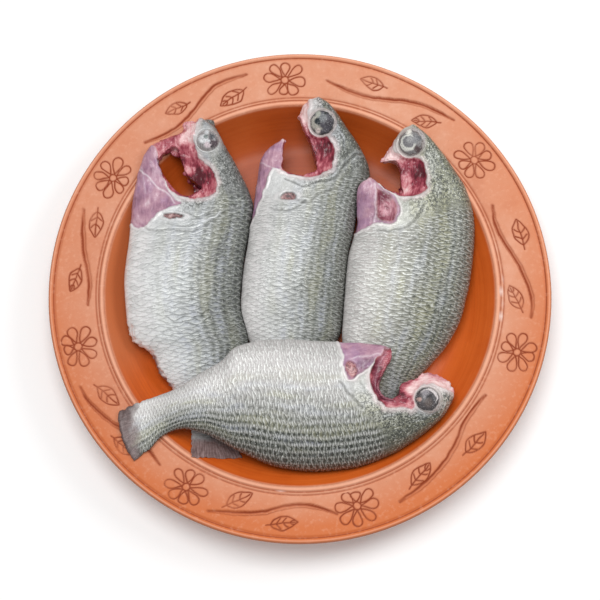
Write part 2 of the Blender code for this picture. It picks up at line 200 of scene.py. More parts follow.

# Each fish lies on its side in its own frame: x from the tail's end to the snout, y towards the belly.
# at and heading place that frame on the plate, roll tips the fish over, tail_skew slants the end of its
# tail, and lie is the height of its middle layer by x where it rests on other fish.
# back and belly are its outline by x, and cut is the gap left by the gills and jaw. dip sinks the cheek as
# (x, y, radius, share), flap lifts the lower lip of the cut as (x, y, radius, rise), and eye is
# (x, y, radius). flesh and film are the bare muscle and the mauve membrane, and raw is a reddened hollow in
# it. creases are folds of the skin with their depths, negative for ridges. tones are places where the flesh
# is paler or darker as (x, y, radius, amount), and lumps are loose pieces as (x, y, height, length, width,
# turn). frayed is the stretch of the belly's edge that is ragged, fin is (where the tail fin ends, its
# reach, its bow), and wound is (x, y, length, width, turn).
# In its look, back darkens the back, bright lightens the flank, warm turns it olive and lays a painted brown
# reflection of the plate along the edge of the back, and brow is the share and the colour laid over the
# head. ring and lid are the strength and the colour of the skin around the eye, and calm is how far that skin
# reaches. sore and fin brighten the wound and the tail fin, steep sets how soon the flank darkens, band its
# stripes, net the strength of the scales' pattern with its painted highlights and shadows, and scale their
# size.
# Each crease is painted dark along its fold as painted shade, and pale along its ridge as a painted
# highlight.
LEFT = dict(
    at=(-47.0, -91.2), heading=92.6, length=190.6, tail_skew=0.0, roll=2.0,
    back=((0, -16), (13, -10.5), (25, -7.5), (40, -12), (53, -18.5), (64, -21), (84, -17.6), (108, -20.6),
          (126, -24.6), (139, -27), (148, -25), (158, -21), (168, -16), (176, -11.6), (184, -8),
          (190.6, 0)),
    belly=((0, 12.7), (15, 12.7), (26, 14.8), (39, 22.3), (48, 29), (59, 34), (66, 43), (75, 45.6),
           (98, 46.5), (124, 43.2), (147, 40.7), (160, 37.6), (170, 34), (176, 30), (180, 23), (183, 13),
           (187, 8.5), (190.6, 0)),
    cut=((168, 24.5), (172, 20), (173.5, 15), (169, 12.7), (161, 10.6), (156.5, 8), (152, 4.2), (149, 0.8),
         (146, 4.5), (145, 9.4), (147.6, 15), (155, 20.4), (162, 24)),
    dip=(159, 12, 26, 0.55), eye=(175.4, -3.2, 6.2),
    flesh=((192, 8), (190, 1.5), (183, 3), (178, 4.6), (171, 3.5), (164.5, 0.5), (158.5, -5),
           (150.6, -7.4), (144.1, -5.2), (142.4, 1.2), (142.6, 8), (147, 17), (155, 22), (162, 26),
           (170, 29), (178, 31), (187, 22)),
    film=((177, 34), (174, 27), (166, 25.4), (161, 23.8), (152, 21.2), (145, 17.6), (139.9, 13.3),
          (137.5, 22.9), (132.4, 29.4), (128.1, 34.3), (131.2, 42), (150, 48), (165, 44)),
    creases=(
        (((162, 36), (157.5, 31.5), (152.5, 27.3), (147.6, 21), (141, 16)), -0.7),
        (((166, 36), (158, 34), (148, 33)), -0.25),
        (((132.9, 39.8), (125.5, 29.5), (125.3, 18.5), (123.2, 9), (126.1, 0.2), (130.7, -7.1),
          (135.4, -14.5)), 0.4),
        (((134.8, 10.3), (131.2, 3.2), (133.4, -3.3), (139, -6.6), (146, -12)), 0.35),
        (((129.5, 20.8), (126.8, 14.5), (127.3, 7.3)), 0.35),
        (((128.6, 6), (129.5, -2), (134, -9)), -0.6),
    ),
    tones=((186, 5.4, 5, 0.9), (180, 6, 7, 0.7), (176, 9, 5, 0.4), (150.7, -5.4, 3.4, 0.5),
           (144.3, 4, 4, 0.6), (176, 24, 5, 0.5), (160.6, 9.8, 3, 0.8), (153.0, 1.4, 5.0, -0.65),
           (159, 4.0, 3.8, -0.55), (166, 10, 3, -0.3), (174, 14, 5, 0.25), (165, 1, 4, 0.3)),
    lumps=((175, 13, 3, 9, 4.5, 80), (171, 15, 1, 7, 4, 60), (174, 20, 1, 8, 5, 100),
           (176, 24, 0, 6, 4, 120), (178, 9, 3, 8, 4, 30), (187, 7.4, 2, 8, 5, 100),
           (187, -4, 0.5, 7, 6, 90), (160, 9.4, 2, 6.5, 2.8, 110), (153, 5, -1, 5, 4, 20),
           (156.5, 7, -3, 6, 4, 50), (149.5, 3.6, -1, 5, 3.4, 80), (166, 9, 1, 7, 3.4, 20),
           (183, 6, 3, 6, 3.6, 30), (151.5, 1, 2, 4, 3, 10)),
    frayed=(38, 76), fin=(13.0, -1.4, 0.0),
    wound=(133.0, 17.5, 5.6, 1.5, 84),
    look=dict(back=1.36, bright=1.2, warm=0.0, brow=(0.34, (0.46, 0.47, 0.46)), ring=0.7,
              lid=(0.58, 0.58, 0.57), sore=1.0, steep=0.97, fin=1.25, band=0.1, calm=2.2, net=0.72,
              scale=1.13),
    eye_look="cloudy",
)
MIDDLE = dict(
    at=(-5.5, -77.3), heading=85.2, length=189.5, tail_skew=0.0, roll=3.0,
    back=((0, -15), (12, -10.5), (24, -7.5), (36, -10), (48, -18.5), (58, -23.6), (81, -24.2),
          (100, -24.2), (116, -26.4), (128, -27.6), (138, -30.6), (146, -33), (152, -32), (159, -28.7),
          (166, -24), (174, -17), (181.4, -10.9), (186.4, -6), (189.5, 0)),
    belly=((0, 13), (12, 11), (24, 10.5), (36, 16), (48, 26.5), (56, 30.5), (64, 33.2), (85, 33.6),
           (108, 32.1), (140, 30.8), (151, 30), (158, 26.4), (162, 22), (166, 16.5), (173, 13), (180, 10),
           (186, 7.5), (189.5, 0)),
    cut=((164.6, 17.5), (158, 17.2), (152, 16.9), (147, 17.2), (144.2, 13.8), (142.6, 8), (143.1, 1.8),
         (145, -1.9), (149, -2.7), (156.3, -0.5), (164.9, 3.1), (171, 6.6), (176, 9), (178, 16), (172, 24),
         (166.5, 22)),
    dip=(157, 6, 24, 0.5), eye=(172.8, -3.5, 7.2),
    flesh=((191, 9), (186.5, 5), (177, 4.4), (171, 3.6), (166.8, 1.6), (165.6, -6.4), (160.6, -11.2),
           (154.7, -11.8), (147.1, -10.8), (142.9, -5.1), (141.2, -1), (141.4, 8), (143, 14), (146, 17.6),
           (152, 12), (172, 14)),
    film=((168, 15), (158, 15), (146.5, 16.6), (145, 22.6), (135.8, 25.2), (124.7, 28.2), (112, 33),
          (140, 36), (160, 32), (170, 22)),
    creases=(
        (((139.5, 15), (136.4, 7.1), (135.1, 3), (138, -2.4), (139.4, -8.7), (143.3, -14.8), (149.4, -17.5),
          (155.8, -23), (158, -26)), 0.75),
        (((128, 8), (126, 1.5), (131.7, -6.1), (135.8, -15.4)), 0.6),
        (((121.9, 21.1), (120.8, 13.8), (123.2, 6), (126.8, 2.3)), 0.5),
        (((150, 30), (147.6, 26), (145, 19)), -0.4),
    ),
    tones=((181, 7.8, 7, 1.3), (184, 3, 5, 1.0), (174, 7, 5, 0.9), (147.6, -7.4, 4, 0.5),
           (163.5, 17.5, 3, 0.9), (142.5, 6, 5, 0.5), (161.8, -5.2, 4.6, -0.6), (155.8, -4.1, 3.6, -0.5),
           (150, -5.6, 3, -0.2), (145.5, 16.5, 3, 0.4)),
    lumps=((163.4, 17.4, 0.5, 3.4, 2.4, 60), (160, -4, 4, 15, 2.6, 10), (156, -7.5, 4.5, 13, 2.4, -8),
           (153, -4, 3.5, 9, 2, 12), (176, 7, 1, 10, 3.6, 10), (184, 6.5, 0, 6, 3.6, -20)),
    fin=(13.0, 0.0, 0.0),
    wound=(129.0, 12.2, 4.6, 1.9, 95),
    look=dict(back=1.05, bright=1.0, warm=0.15, brow=(0.08, (0.40, 0.41, 0.27)), ring=0.4,
              lid=(0.50, 0.38, 0.36), sore=1.1, steep=1.0, fin=1.0, band=0.1, calm=1.4, net=0.78,
              scale=1.05),
    eye_look="ringed",
)
RIGHT = dict(
    at=(33.2, -89.5), heading=80.9, length=187.4, tail_skew=0.0, roll=4.0,
    back=((0, -15), (12, -11), (24, -12), (33, -17), (41, -22), (56, -31.5), (64, -36.8), (72, -40.5),
          (86, -44.2), (108, -45.8), (126, -45.3), (138, -43.6), (147, -41.2), (156, -36.6), (164, -29.8),
          (171, -23.2), (177, -16.5), (182, -10.2), (187.4, -1)),
    belly=((0, 13), (12, 9.5), (24, 7.5), (36, 8.5), (48, 14.4), (62, 19.9), (83, 21.8), (106, 23.5),
           (119, 22.3), (126, 21.8), (134, 23.7), (142, 25), (148, 23.6), (152, 19), (158, 15.5),
           (165, 13.6), (171.5, 10.6), (178, 7.4), (183, 5.2), (187.4, -1)),
    cut=((151.4, 17), (148, 9), (145.9, 2.8), (146.6, -1.1), (152, 0.3), (160, 2), (164.4, 4.5),
         (165.2, 7.5), (163.8, 12.4), (163, 20), (156, 24)),
    dip=(157, 4, 23, 0.5), eye=(174.9, -1.5, 7.6), flap=(150, 25, 26, 7.0),
    flesh=((176, 9), (171, 8), (168.4, 3.4), (167.6, -4.4), (164.6, -9.9), (154.4, -13.2), (149.2, -13.8),
           (145.4, -9.6), (143.8, -2.3), (144.6, 3), (149, 12), (158, 8), (164, 15)),
    film=((153, 18), (147.5, 11.5), (144, 4.4), (139.5, 0.4), (133, -1.2), (127.4, 1.8), (127, 11),
          (126, 13), (120.7, 21.8), (121, 25), (134, 28), (150, 28)),
    raw=((146, 13.5), (143.6, 5.9), (139.4, 1.8), (133, 0.2), (128.6, 2.6), (128.2, 10.5), (134, 12.2),
         (141, 13.4)),
    creases=(
        (((141.1, -13.6), (136, -12.8), (130.4, -9.1), (125.7, -4.2), (123.6, 3), (123, 10)), 0.6),
        (((149, 15), (141, 13.6), (134, 12.6), (127.6, 12.4)), -0.6),
        (((141, 10), (137, 6), (133, 3)), -0.35),
        (((141, 6.6), (137, 3.6)), -0.3),
        (((113.7, -1.3), (118.8, -8.9), (125.6, -15.3)), 0.4),
    ),
    tones=((148.2, -1.7, 3, 0.7), (165, 3, 3, 0.5), (170.5, 9, 7, 1.1), (165, 11, 4, 1.0),
           (161, -1.5, 4, -0.3), (150, -12, 3.4, 0.6), (157.2, -6.1, 4, -0.5), (161.4, -8.3, 3, -0.4),
           (143, 10, 4, -0.35), (136, 5, 3, 0.3), (131, 6, 3.4, -0.15), (153, -2, 4, 0.35)),
    lumps=((157, -2.4, 3.6, 14, 2.8, 8), (156, -6, 5, 16, 3, -4), (154, -9.8, 5.5, 13, 2.8, -14),
           (161, -1.6, 3.6, 10, 2.4, 28), (150.5, -4, 3, 8, 2.4, 40), (149, -0.6, 1.6, 6, 2.2, 66),
           (160, -9, 5, 9, 2, 10), (152.6, -7.4, 5, 9, 2, 14), (170, 9.6, 0.5, 11, 3.2, -32),
           (165, 13, 0.3, 4, 2, -30)),
    fin=(13.0, 0.0, 0.0), wound=None,
    look=dict(back=1.03, bright=0.86, warm=0.7, brow=(0.40, (0.40, 0.41, 0.27)), ring=0.5,
              lid=(0.50, 0.46, 0.43), sore=1.0, steep=0.9, fin=1.0, band=0.14, calm=1.4, net=1.0,
              scale=1.05),
    eye_look="silver",
)
FRONT = dict(
    at=(-95.7, -79.1), heading=6.4, length=181.0, tail_skew=-0.2, roll=11.0,
    lie=((0, 25.3), (16, 26.6), (36, 26.6), (60, 25), (90, 24), (120, 24.8), (150, 26.2), (181, 25.6)),
    back=((0, -17), (11, -11.5), (21, -4.2), (31, -2.2), (43, -5.8), (61, -17.2), (82, -27.9),
          (104, -32.5), (118, -32.9), (143, -28.1), (158, -21.2), (168, -15.2), (175, -9.5), (181, -1)),
    belly=((0, 11.8), (7, 14.4), (16, 16.4), (29, 19.3), (44, 26.6), (56, 31.8), (66, 39), (80, 40.8),
           (111, 37), (144, 31.2), (151, 27.4), (158, 20), (164, 13.4), (168, 13.4), (174, 11), (178.6, 6),
           (181, -1)),
    cut=((150.4, 29), (148.6, 22.6), (144.6, 17), (141.2, 11), (140.6, 6.5), (142.6, 2.5), (147, 0.5),
         (150.4, 2), (152.2, 7), (157, 9.3), (161.6, 9), (164.2, 13.2), (164, 24), (158, 33)),
    dip=(151, 13, 22, 0.45), eye=(165.4, -2.3, 7.0),
    flesh=((150, 30), (145, 27), (140.2, 22), (136.2, 15.5), (135.3, 10), (136.6, 5), (139.4, -0.6),
           (142.2, -4.3), (147, -5.2), (152.2, -5.4), (156.7, -7), (159.4, -3), (160.6, 3.5), (164.6, 6),
           (170, 5.8), (174, 3.2), (182, 1), (183, 6), (176, 13), (166, 15), (158, 14), (156, 14)),
    film=((151, 30), (148, 28.4), (141, 23), (136.8, 18.9), (133.3, 16.4), (128.7, 14.6), (124.7, 13),
          (122.5, 19), (123.4, 27), (122, 33), (122, 40), (146, 36)),
    raw=((147, 30), (140.6, 21.4), (137.4, 14), (136.8, 8), (138.4, 2.8), (142, -1.2), (147, -2), (147, 1),
         (143, 4), (141, 9), (143, 16), (147, 24)),
    creases=(
        (((119.2, 12.3), (122.5, 7.2), (125.8, 2), (129.7, -3.9)), 0.7),
        (((129.4, 12.7), (132.6, 6.8), (135.1, 1.8)), 0.35),
        (((128.5, 24.8), (133.9, 24.6), (142.7, 25.6)), -0.5),
        (((133, 21.4), (131, 17.4)), 0.3),
        (((136.6, 21.6), (134, 18.2)), 0.3),
    ),
    tones=((133, 20, 4, -1.0), (154, 1.4, 3, -0.75), (138.2, 8, 4, -0.55), (142, 17, 4.6, -0.3),
           (145.6, 25, 4, 0.1), (152.8, 3, 2.6, -0.45), (141, 1.6, 3, -0.4), (153.6, -0.6, 2.6, -0.2),
           (158, 3, 4.4, 1.0), (176, -3, 5, 0.8), (173, -9, 4, 0.5), (165, 10, 6, 1.0), (173, 8, 6, 1.0),
           (179, 4, 5, 1.0), (150, -4.6, 3.6, 0.6), (145, -4.2, 3, 0.5), (156, -5, 4, 0.8)),
    lumps=((153.4, 3.6, 4, 7, 3, 80), (153.8, -0.8, 5, 5, 4, 20), (157.5, 6.6, 4, 6, 3.2, -20),
           (161.4, 8.6, 3, 5, 3.4, 30), (165, 10.6, 2.4, 5.6, 3.4, 10), (169, 11, 2, 5, 3.2, -20),
           (172.6, 10.2, 2, 5, 3.2, -30), (175.8, 8.6, 1.6, 4.6, 3, -50), (178.4, 6, 1, 4.4, 2.8, -60),
           (180.2, 3, 0.8, 4, 2.4, -80), (163.4, 6, 5, 5, 3, 10), (168, 8.6, 5, 5.4, 3, -10),
           (173, 6.6, 4.4, 5, 3, -40)),
    fin=(10.0, 0.6, -2.8),
    wound=(126.4, 18.6, 4.6, 3.0, 95),
    look=dict(back=2.8, bright=0.75, warm=0.5, brow=(0.25, (0.40, 0.41, 0.27)), ring=0.35,
              lid=(0.50, 0.43, 0.40), sore=1.7, steep=2.0, fin=0.62, band=0.36, calm=1.4, net=1.05,
              scale=1.0),
    eye_look="dark",
)
FISH = {"fish_left": LEFT, "fish_middle": MIDDLE, "fish_right": RIGHT, "fish_front": FRONT}

# Each kind of eye, painted from the outside in with round patches: how far the patch lies towards the snout
# and towards the belly, its radius and softness, all as shares of the eye, and its colour. The pale patches
# are partly the eye's own pale colour and partly painted highlights on its wet surface.
EYES = {
    "cloudy": (
        (0.0, 0.0, 0.98, 0.08, (0.27, 0.25, 0.25)), (-0.23, -0.53, 0.50, 0.20, (0.09, 0.065, 0.075)),
        (0.33, -0.40, 0.28, 0.14, (0.06, 0.065, 0.075)), (0.10, 0.43, 0.46, 0.14, (0.60, 0.60, 0.61)),
        (0.77, 0.10, 0.22, 0.12, (0.60, 0.61, 0.62)), (-0.47, 0.0, 0.34, 0.12, (0.66, 0.56, 0.59)),
        (0.30, 0.20, 0.22, 0.08, (0.15, 0.18, 0.175)), (-0.1, -0.1, 0.14, 0.06, (0.60, 0.60, 0.62)),
        (-0.12, 0.62, 0.14, 0.06, (0.74, 0.74, 0.75)), (0.05, -0.62, 0.12, 0.06, (0.34, 0.33, 0.34)),
        (-0.62, -0.34, 0.14, 0.06, (0.05, 0.04, 0.045)), (-0.30, -0.24, 0.10, 0.05, (0.04, 0.04, 0.045)),
    ),
    "ringed": (
        (0.0, 0.0, 1.0, 0.03, (0.02, 0.02, 0.022)), (0.02, 0.03, 0.90, 0.06, (0.09, 0.085, 0.10)),
        (0.0, 0.28, 0.66, 0.10, (0.44, 0.42, 0.37)), (0.02, -0.32, 0.60, 0.16, (0.07, 0.065, 0.08)),
        (0.42, -0.06, 0.36, 0.18, (0.18, 0.19, 0.20)), (0.74, 0.35, 0.20, 0.10, (0.40, 0.41, 0.36)),
        (-0.71, 0.32, 0.20, 0.10, (0.70, 0.60, 0.56)), (0.0, -0.64, 0.30, 0.16, (0.04, 0.035, 0.045)),
        (0.12, 0.34, 0.28, 0.06, (0.012, 0.02, 0.025)), (0.77, -0.32, 0.09, 0.05, (0.02, 0.03, 0.02)),
    ),
    "silver": (
        (0.0, 0.0, 0.98, 0.04, (0.15, 0.12, 0.11)), (0.0, 0.0, 0.90, 0.06, (0.23, 0.22, 0.22)),
        (0.80, 0.26, 0.22, 0.10, (0.78, 0.75, 0.68)), (-0.03, 0.18, 0.66, 0.05, (0.76, 0.76, 0.70)),
        (0.30, -0.36, 0.32, 0.12, (0.20, 0.20, 0.21)), (0.05, 0.18, 0.48, 0.05, (0.22, 0.215, 0.225)),
        (0.22, 0.10, 0.24, 0.12, (0.36, 0.36, 0.36)), (-0.45, -0.58, 0.26, 0.12, (0.09, 0.06, 0.06)),
        (0.36, -0.62, 0.22, 0.08, (0.14, 0.14, 0.15)),
    ),
    "dark": (
        (0.0, 0.0, 0.98, 0.05, (0.03, 0.026, 0.026)), (0.0, 0.0, 0.90, 0.08, (0.07, 0.06, 0.062)),
        (0.15, 0.16, 0.74, 0.04, (0.68, 0.63, 0.63)), (0.0, -0.02, 0.72, 0.05, (0.08, 0.07, 0.075)),
        (-0.08, 0.40, 0.36, 0.12, (0.28, 0.26, 0.28)), (0.20, 0.05, 0.34, 0.12, (0.03, 0.026, 0.03)),
        (0.0, -0.36, 0.34, 0.16, (0.11, 0.085, 0.078)), (-0.72, 0.02, 0.18, 0.09, (0.48, 0.31, 0.27)),
    ),
}
EYE_RIM = (0.42, 0.38, 0.37)
EYE_SHARE = 0.93


def curve(points, x):
    """The smooth curve through (x, y) points, with no overshoot, read at every x."""
    px, py = np.array(points, float).T
    slopes = np.diff(py) / np.diff(px)
    before, after = slopes[:-1], slopes[1:]
    turning = before * after <= 0
    inner = np.where(turning, 0.0, 2 * before * after / np.where(turning, 1.0, before + after))
    tangents = np.concatenate([slopes[:1], inner, slopes[-1:]])
    x = np.clip(x, px[0], px[-1])
    i = np.clip(np.searchsorted(px, x, side="right") - 1, 0, len(px) - 2)
    step = px[i + 1] - px[i]
    t = (x - px[i]) / step
    return (
        (2 * t**3 - 3 * t**2 + 1) * py[i]
        + (t**3 - 2 * t**2 + t) * step * tangents[i]
        + (3 * t**2 - 2 * t**3) * py[i + 1]
        + (t**3 - t**2) * step * tangents[i + 1]
    )


def ease(low, high, value):
    """0 below low, 1 above high, and smooth between."""
    t = np.clip((value - low) / (high - low), 0.0, 1.0)
    return t * t * (3 - 2 * t)


def rough(points, size, seed):
    """Smooth random values from -1 to 1 at the points, with bumps about size across."""
    lattice = np.random.default_rng(seed).uniform(-1, 1, (32, 32, 32))
    place = np.asarray(points, float) / size
    cell = np.floor(place).astype(int)
    t = place - cell
    t = t * t * (3 - 2 * t)
    total = np.zeros(len(place))
    for corner in np.ndindex(2, 2, 2):
        weight = np.prod(np.where(np.array(corner) == 1, t, 1 - t), axis=1)
        i, j, k = ((cell + corner) % 32).T
        total += weight * lattice[i, j, k]
    return total


def jitter(points, size, seed):
    """Two smooth random values for each point, to shift flat places by."""
    return np.column_stack([rough(points, size, seed), rough(points, size, seed + 1)])


def bell(distance, centre, width):
    """1 where the distance is the centre, and near 0 two widths away."""
    return np.exp(-(((distance - centre) / width) ** 2))


def smooth_path(points, steps, closed=False):
    """A smooth path through 2-D points, closed or open."""
    points = np.array(points, float)
    if closed:
        padded = np.concatenate([points[-1:], points, points[:2]])
    else:
        padded = np.concatenate([2 * points[:1] - points[1:2], points, 2 * points[-1:] - points[-2:-1]])
    t = np.linspace(0, 1, steps, endpoint=False)[:, None]
    parts = []
    for a, b, c, d in zip(padded, padded[1:], padded[2:], padded[3:]):
        parts.append(
            0.5 * (2 * b + (c - a) * t + (2 * a - 5 * b + 4 * c - d) * t**2 + (3 * b - a - 3 * c + d) * t**3)
        )
    path = np.concatenate(parts)
    return path if closed else np.concatenate([path, points[-1:]])


def path_distance(points, path, reach):
    """How far each 2-D point is from a path, no further than reach."""
    distance = np.full(len(points), float(reach))
    low, high = path.min(0) - reach, path.max(0) + reach
    near = np.flatnonzero(((points > low) & (points < high)).all(1))
    if len(near) == 0:
        return distance
    found = points[near]
    best = np.full(len(found), float(reach))
    for a, b in zip(path, path[1:]):
        along = b - a
        t = np.clip((found - a) @ along / max(along @ along, 1e-12), 0, 1)
        best = np.minimum(best, np.hypot(*(found - a - t[:, None] * along).T))
    distance[near] = best
    return distance


def inside_distance(points, outline, reach):
    """The distance to a closed outline, positive inside it and negative outside, capped at reach."""
    loop = np.concatenate([outline, outline[:1]])
    distance = path_distance(points, loop, reach)
    inside = np.zeros(len(points), bool)
    for (x0, y0), (x1, y1) in zip(loop, loop[1:]):
        spans = (y0 > points[:, 1]) != (y1 > points[:, 1])
        if y0 != y1:
            inside ^= spans & (points[:, 0] < x0 + (points[:, 1] - y0) * (x1 - x0) / (y1 - y0))
    return np.where(inside, distance, -distance)


def add_object(name, data):
    made = bpy.data.objects.new(name, data)
    bpy.context.scene.collection.objects.link(made)
    return made


def mesh_object(name, points, faces):
    """A new object from points in millimetres."""
    mesh = bpy.data.meshes.new(name)
    mesh.from_pydata(np.asarray(points, float) * MM, [], faces)
    mesh.shade_smooth()
    return add_object(name, mesh)


def face_outwards(obj):
    shell = bmesh.new()
    shell.from_mesh(obj.data)
    bmesh.ops.recalc_face_normals(shell, faces=shell.faces)
    shell.to_mesh(obj.data)
    shell.free()
    return obj


def applied(obj, *modifiers):
    """Adds each (kind, settings) modifier and applies them all."""
    for kind, settings in modifiers:
        step = obj.modifiers.new(kind.lower(), kind)
        for key, value in settings.items():
            setattr(step, key, value)
    bpy.context.view_layer.update()
    evaluated = obj.evaluated_get(bpy.context.evaluated_depsgraph_get())
    made = bpy.data.meshes.new_from_object(evaluated)
    obj.modifiers.clear()
    obj.data = made
    return obj


def combine(obj, other, operation):
    applied(obj, ("BOOLEAN", dict(operation=operation, object=other, solver="MANIFOLD")))
    bpy.data.objects.remove(other)


def vertex_values(mesh, kind):
    """The places or normals of the vertices, as rows of three numbers."""
    found = np.empty(len(mesh.vertices) * 3, np.float32)
    mesh.vertices.foreach_get(kind, found)
    return found.reshape(-1, 3).astype(float)


def coordinates(mesh):
    return vertex_values(mesh, "co") / MM


def set_coordinates(mesh, points):
    mesh.vertices.foreach_set("co", (points * MM).astype(np.float32).ravel())
    mesh.update()


def paint(mesh, **values):
    """Stores each named number for every vertex, for the materials to read."""
    for name, value in values.items():
        layer = mesh.attributes.new(name, "FLOAT", "POINT")
        layer.data.foreach_set("value", np.asarray(value, np.float32))


class Graph:
    """A material's node tree, with short ways to add and join nodes."""

    def __init__(self, name):
        self.material = bpy.data.materials.new(name)
        self.material.use_nodes = True
        self.nodes = self.material.node_tree.nodes
        self.links = self.material.node_tree.links
        self.shader = self.nodes["Principled BSDF"]

    def feed(self, socket, value):
        if isinstance(value, bpy.types.NodeSocket):
            self.links.new(value, socket)
        elif value is not None:
            socket.default_value = value

    def value(self, name):
        node = self.nodes.new("ShaderNodeAttribute")
        node.attribute_name = name
        return node.outputs["Fac"]

    def place(self):
        return self.nodes.new("ShaderNodeTexCoord").outputs["Object"]

    def math(self, operation, a, *others, clamp=False):
        """The result of an operation, which more than two values go through one by one."""
        for b in others or (None,):
            node = self.nodes.new("ShaderNodeMath")
            node.operation = operation
            node.use_clamp = clamp
            self.feed(node.inputs[0], a)
            self.feed(node.inputs[1], b)
            a = node.outputs[0]
        return a

    def times(self, *values):
        return self.math("MULTIPLY", *values)

    def plus(self, *values):
        return self.math("ADD", *values)

    def minus(self, *values):
        return self.math("SUBTRACT", *values)

    def span(self, value, low, high, to_low=0.0, to_high=1.0):
        """Maps low..high onto to_low..to_high, smoothly and clamped."""
        node = self.nodes.new("ShaderNodeMapRange")
        node.interpolation_type = "SMOOTHSTEP"
        for socket, number in zip(node.inputs, (value, low, high, to_low, to_high)):
            self.feed(socket, number)
        return node.outputs[0]

    def noise(self, vector, scale, detail=3.0, roughness=0.55, distortion=0.0):
        node = self.nodes.new("ShaderNodeTexNoise")
        self.feed(node.inputs["Vector"], vector)
        self.feed(node.inputs["Scale"], scale)
        self.feed(node.inputs["Detail"], detail)
        self.feed(node.inputs["Roughness"], roughness)
        self.feed(node.inputs["Distortion"], distortion)
        return node.outputs["Fac"]

    def cells(self, x, y):
        """A random value for each whole-numbered pair."""
        node = self.nodes.new("ShaderNodeTexWhiteNoise")
        node.noise_dimensions = "2D"
        self.feed(node.inputs["Vector"], self.vector(x, y))
        return node.outputs["Value"]

    def vector(self, x=0.0, y=0.0, z=0.0):
        node = self.nodes.new("ShaderNodeCombineXYZ")
        for socket, number in zip(node.inputs, (x, y, z)):
            self.feed(socket, number)
        return node.outputs[0]

    def stretch(self, vector, x, y, z):
        node = self.nodes.new("ShaderNodeVectorMath")
        node.operation = "MULTIPLY"
        self.feed(node.inputs[0], vector)
        node.inputs[1].default_value = (x, y, z)
        return node.outputs[0]

    def mix(self, share, a, b):
        node = self.nodes.new("ShaderNodeMix")
        node.data_type = "RGBA"
        self.feed(node.inputs["Factor"], share)
        self.feed(node.inputs[6], (*a, 1.0) if isinstance(a, tuple) else a)
        self.feed(node.inputs[7], (*b, 1.0) if isinstance(b, tuple) else b)
        return node.outputs[2]

    def layers(self, color, *coats):
        """Lays each (share, colour) over what is under it."""
        for share, coat in coats:
            color = self.mix(share, color, coat)
        return color

    def ramp(self, value, stops):
        node = self.nodes.new("ShaderNodeValToRGB")
        elements = node.color_ramp.elements
        while len(elements) < len(stops):
            elements.new(0.5)
        for element, (place, *color) in zip(elements, stops):
            element.position = place
            element.color = (*color, 1.0)
        self.feed(node.inputs[0], value)
        return node.outputs[0]

    def bump(self, height, distance, strength):
        node = self.nodes.new("ShaderNodeBump")
        self.feed(node.inputs["Strength"], strength)
        self.feed(node.inputs["Distance"], distance * MM)
        self.feed(node.inputs["Height"], height)
        return node.outputs[0]

    def finish(self, **inputs):
        for name, value in inputs.items():
            if isinstance(value, tuple):
                value = (*value, 1.0)
            self.feed(self.shader.inputs[name.replace("_", " ").title().replace("Ior", "IOR")], value)
        return self.material


def plate_top():
    """The plate's upper profile as (radius, height) points, from the centre to the edge."""
    floor = [(radius, FLOOR_HEIGHT) for radius in (0.0, 40.0, 70.0)]
    wall = [
        (FLOOR_RADIUS + (WALL_RADIUS - FLOOR_RADIUS) * t,
         FLOOR_HEIGHT + (WALL_HEIGHT - FLOOR_HEIGHT) * t**WALL_POWER)
        for t in np.linspace(0, 0.92, 12)
    ]
    return floor + wall + list(WELL_BEADS) + list(OUTER_EDGE)


def plate_height(radius):
    """The height of the plate's upper face at each radius."""
    radii, heights = np.array(plate_top()).T
    return np.interp(radius, radii, heights)


def rounded(profile):
    """The profile with its corners cut twice, so that it turns softly."""
    points = np.array(profile, float)
    for _ in range(2):
        a, b = points[:-1], points[1:]
        cut = np.empty((2 * len(a), 2))
        cut[0::2] = 0.75 * a + 0.25 * b
        cut[1::2] = 0.25 * a + 0.75 * b
        points = np.concatenate([points[:1], cut, points[-1:]])
    return points


def turned_mesh(name, rings):
    """A solid of revolution from (radius, height, segments) rings between two points on the axis."""
    points, starts, faces = [], [], []
    for radius, height, count in rings[1:-1]:
        angle = 2 * np.pi * np.arange(count) / count
        starts.append((sum(len(p) for p in points), count))
        level = np.full(count, height)
        points.append(np.column_stack([radius * np.cos(angle), radius * np.sin(angle), level]))
    total = sum(len(p) for p in points)
    points.append(np.array([(0, 0, rings[0][1]), (0, 0, rings[-1][1])]))
    for (a, n), (b, m) in zip(starts, starts[1:]):
        few = min(n, m)
        for k in range(few):
            after = (k + 1) % few
            inner = [a + (k * n // few + i) % n for i in range(n // few + 1)]
            outer = [b + (k * m // few + i) % m for i in range(m // few + 1)]
            inner[-1], outer[-1] = a + after * n // few, b + after * m // few
            faces.append(inner[::-1] + outer)
    first, last = starts[0], starts[-1]
    faces += [(total, first[0] + k, first[0] + (k + 1) % first[1]) for k in range(first[1])]
    faces += [(total + 1, last[0] + (k + 1) % last[1], last[0] + k) for k in range(last[1])]
    return mesh_object(name, np.concatenate(points), faces)


def plate_clearance():
    """A solid that fills the plate to a hair above its upper face, to trim what rests on it."""
    rings = [(r, z + CLEARANCE, PLAIN_SEGMENTS) for r, z in plate_top()]
    rings += [(r, -5.0, PLAIN_SEGMENTS) for r in (PLATE_RADIUS, 0.0)]
    return face_outwards(turned_mesh("plate_clearance", rings))


def polar(angle, radius=1.0):
    return np.array([radius * math.cos(math.radians(angle)), radius * math.sin(math.radians(angle))])


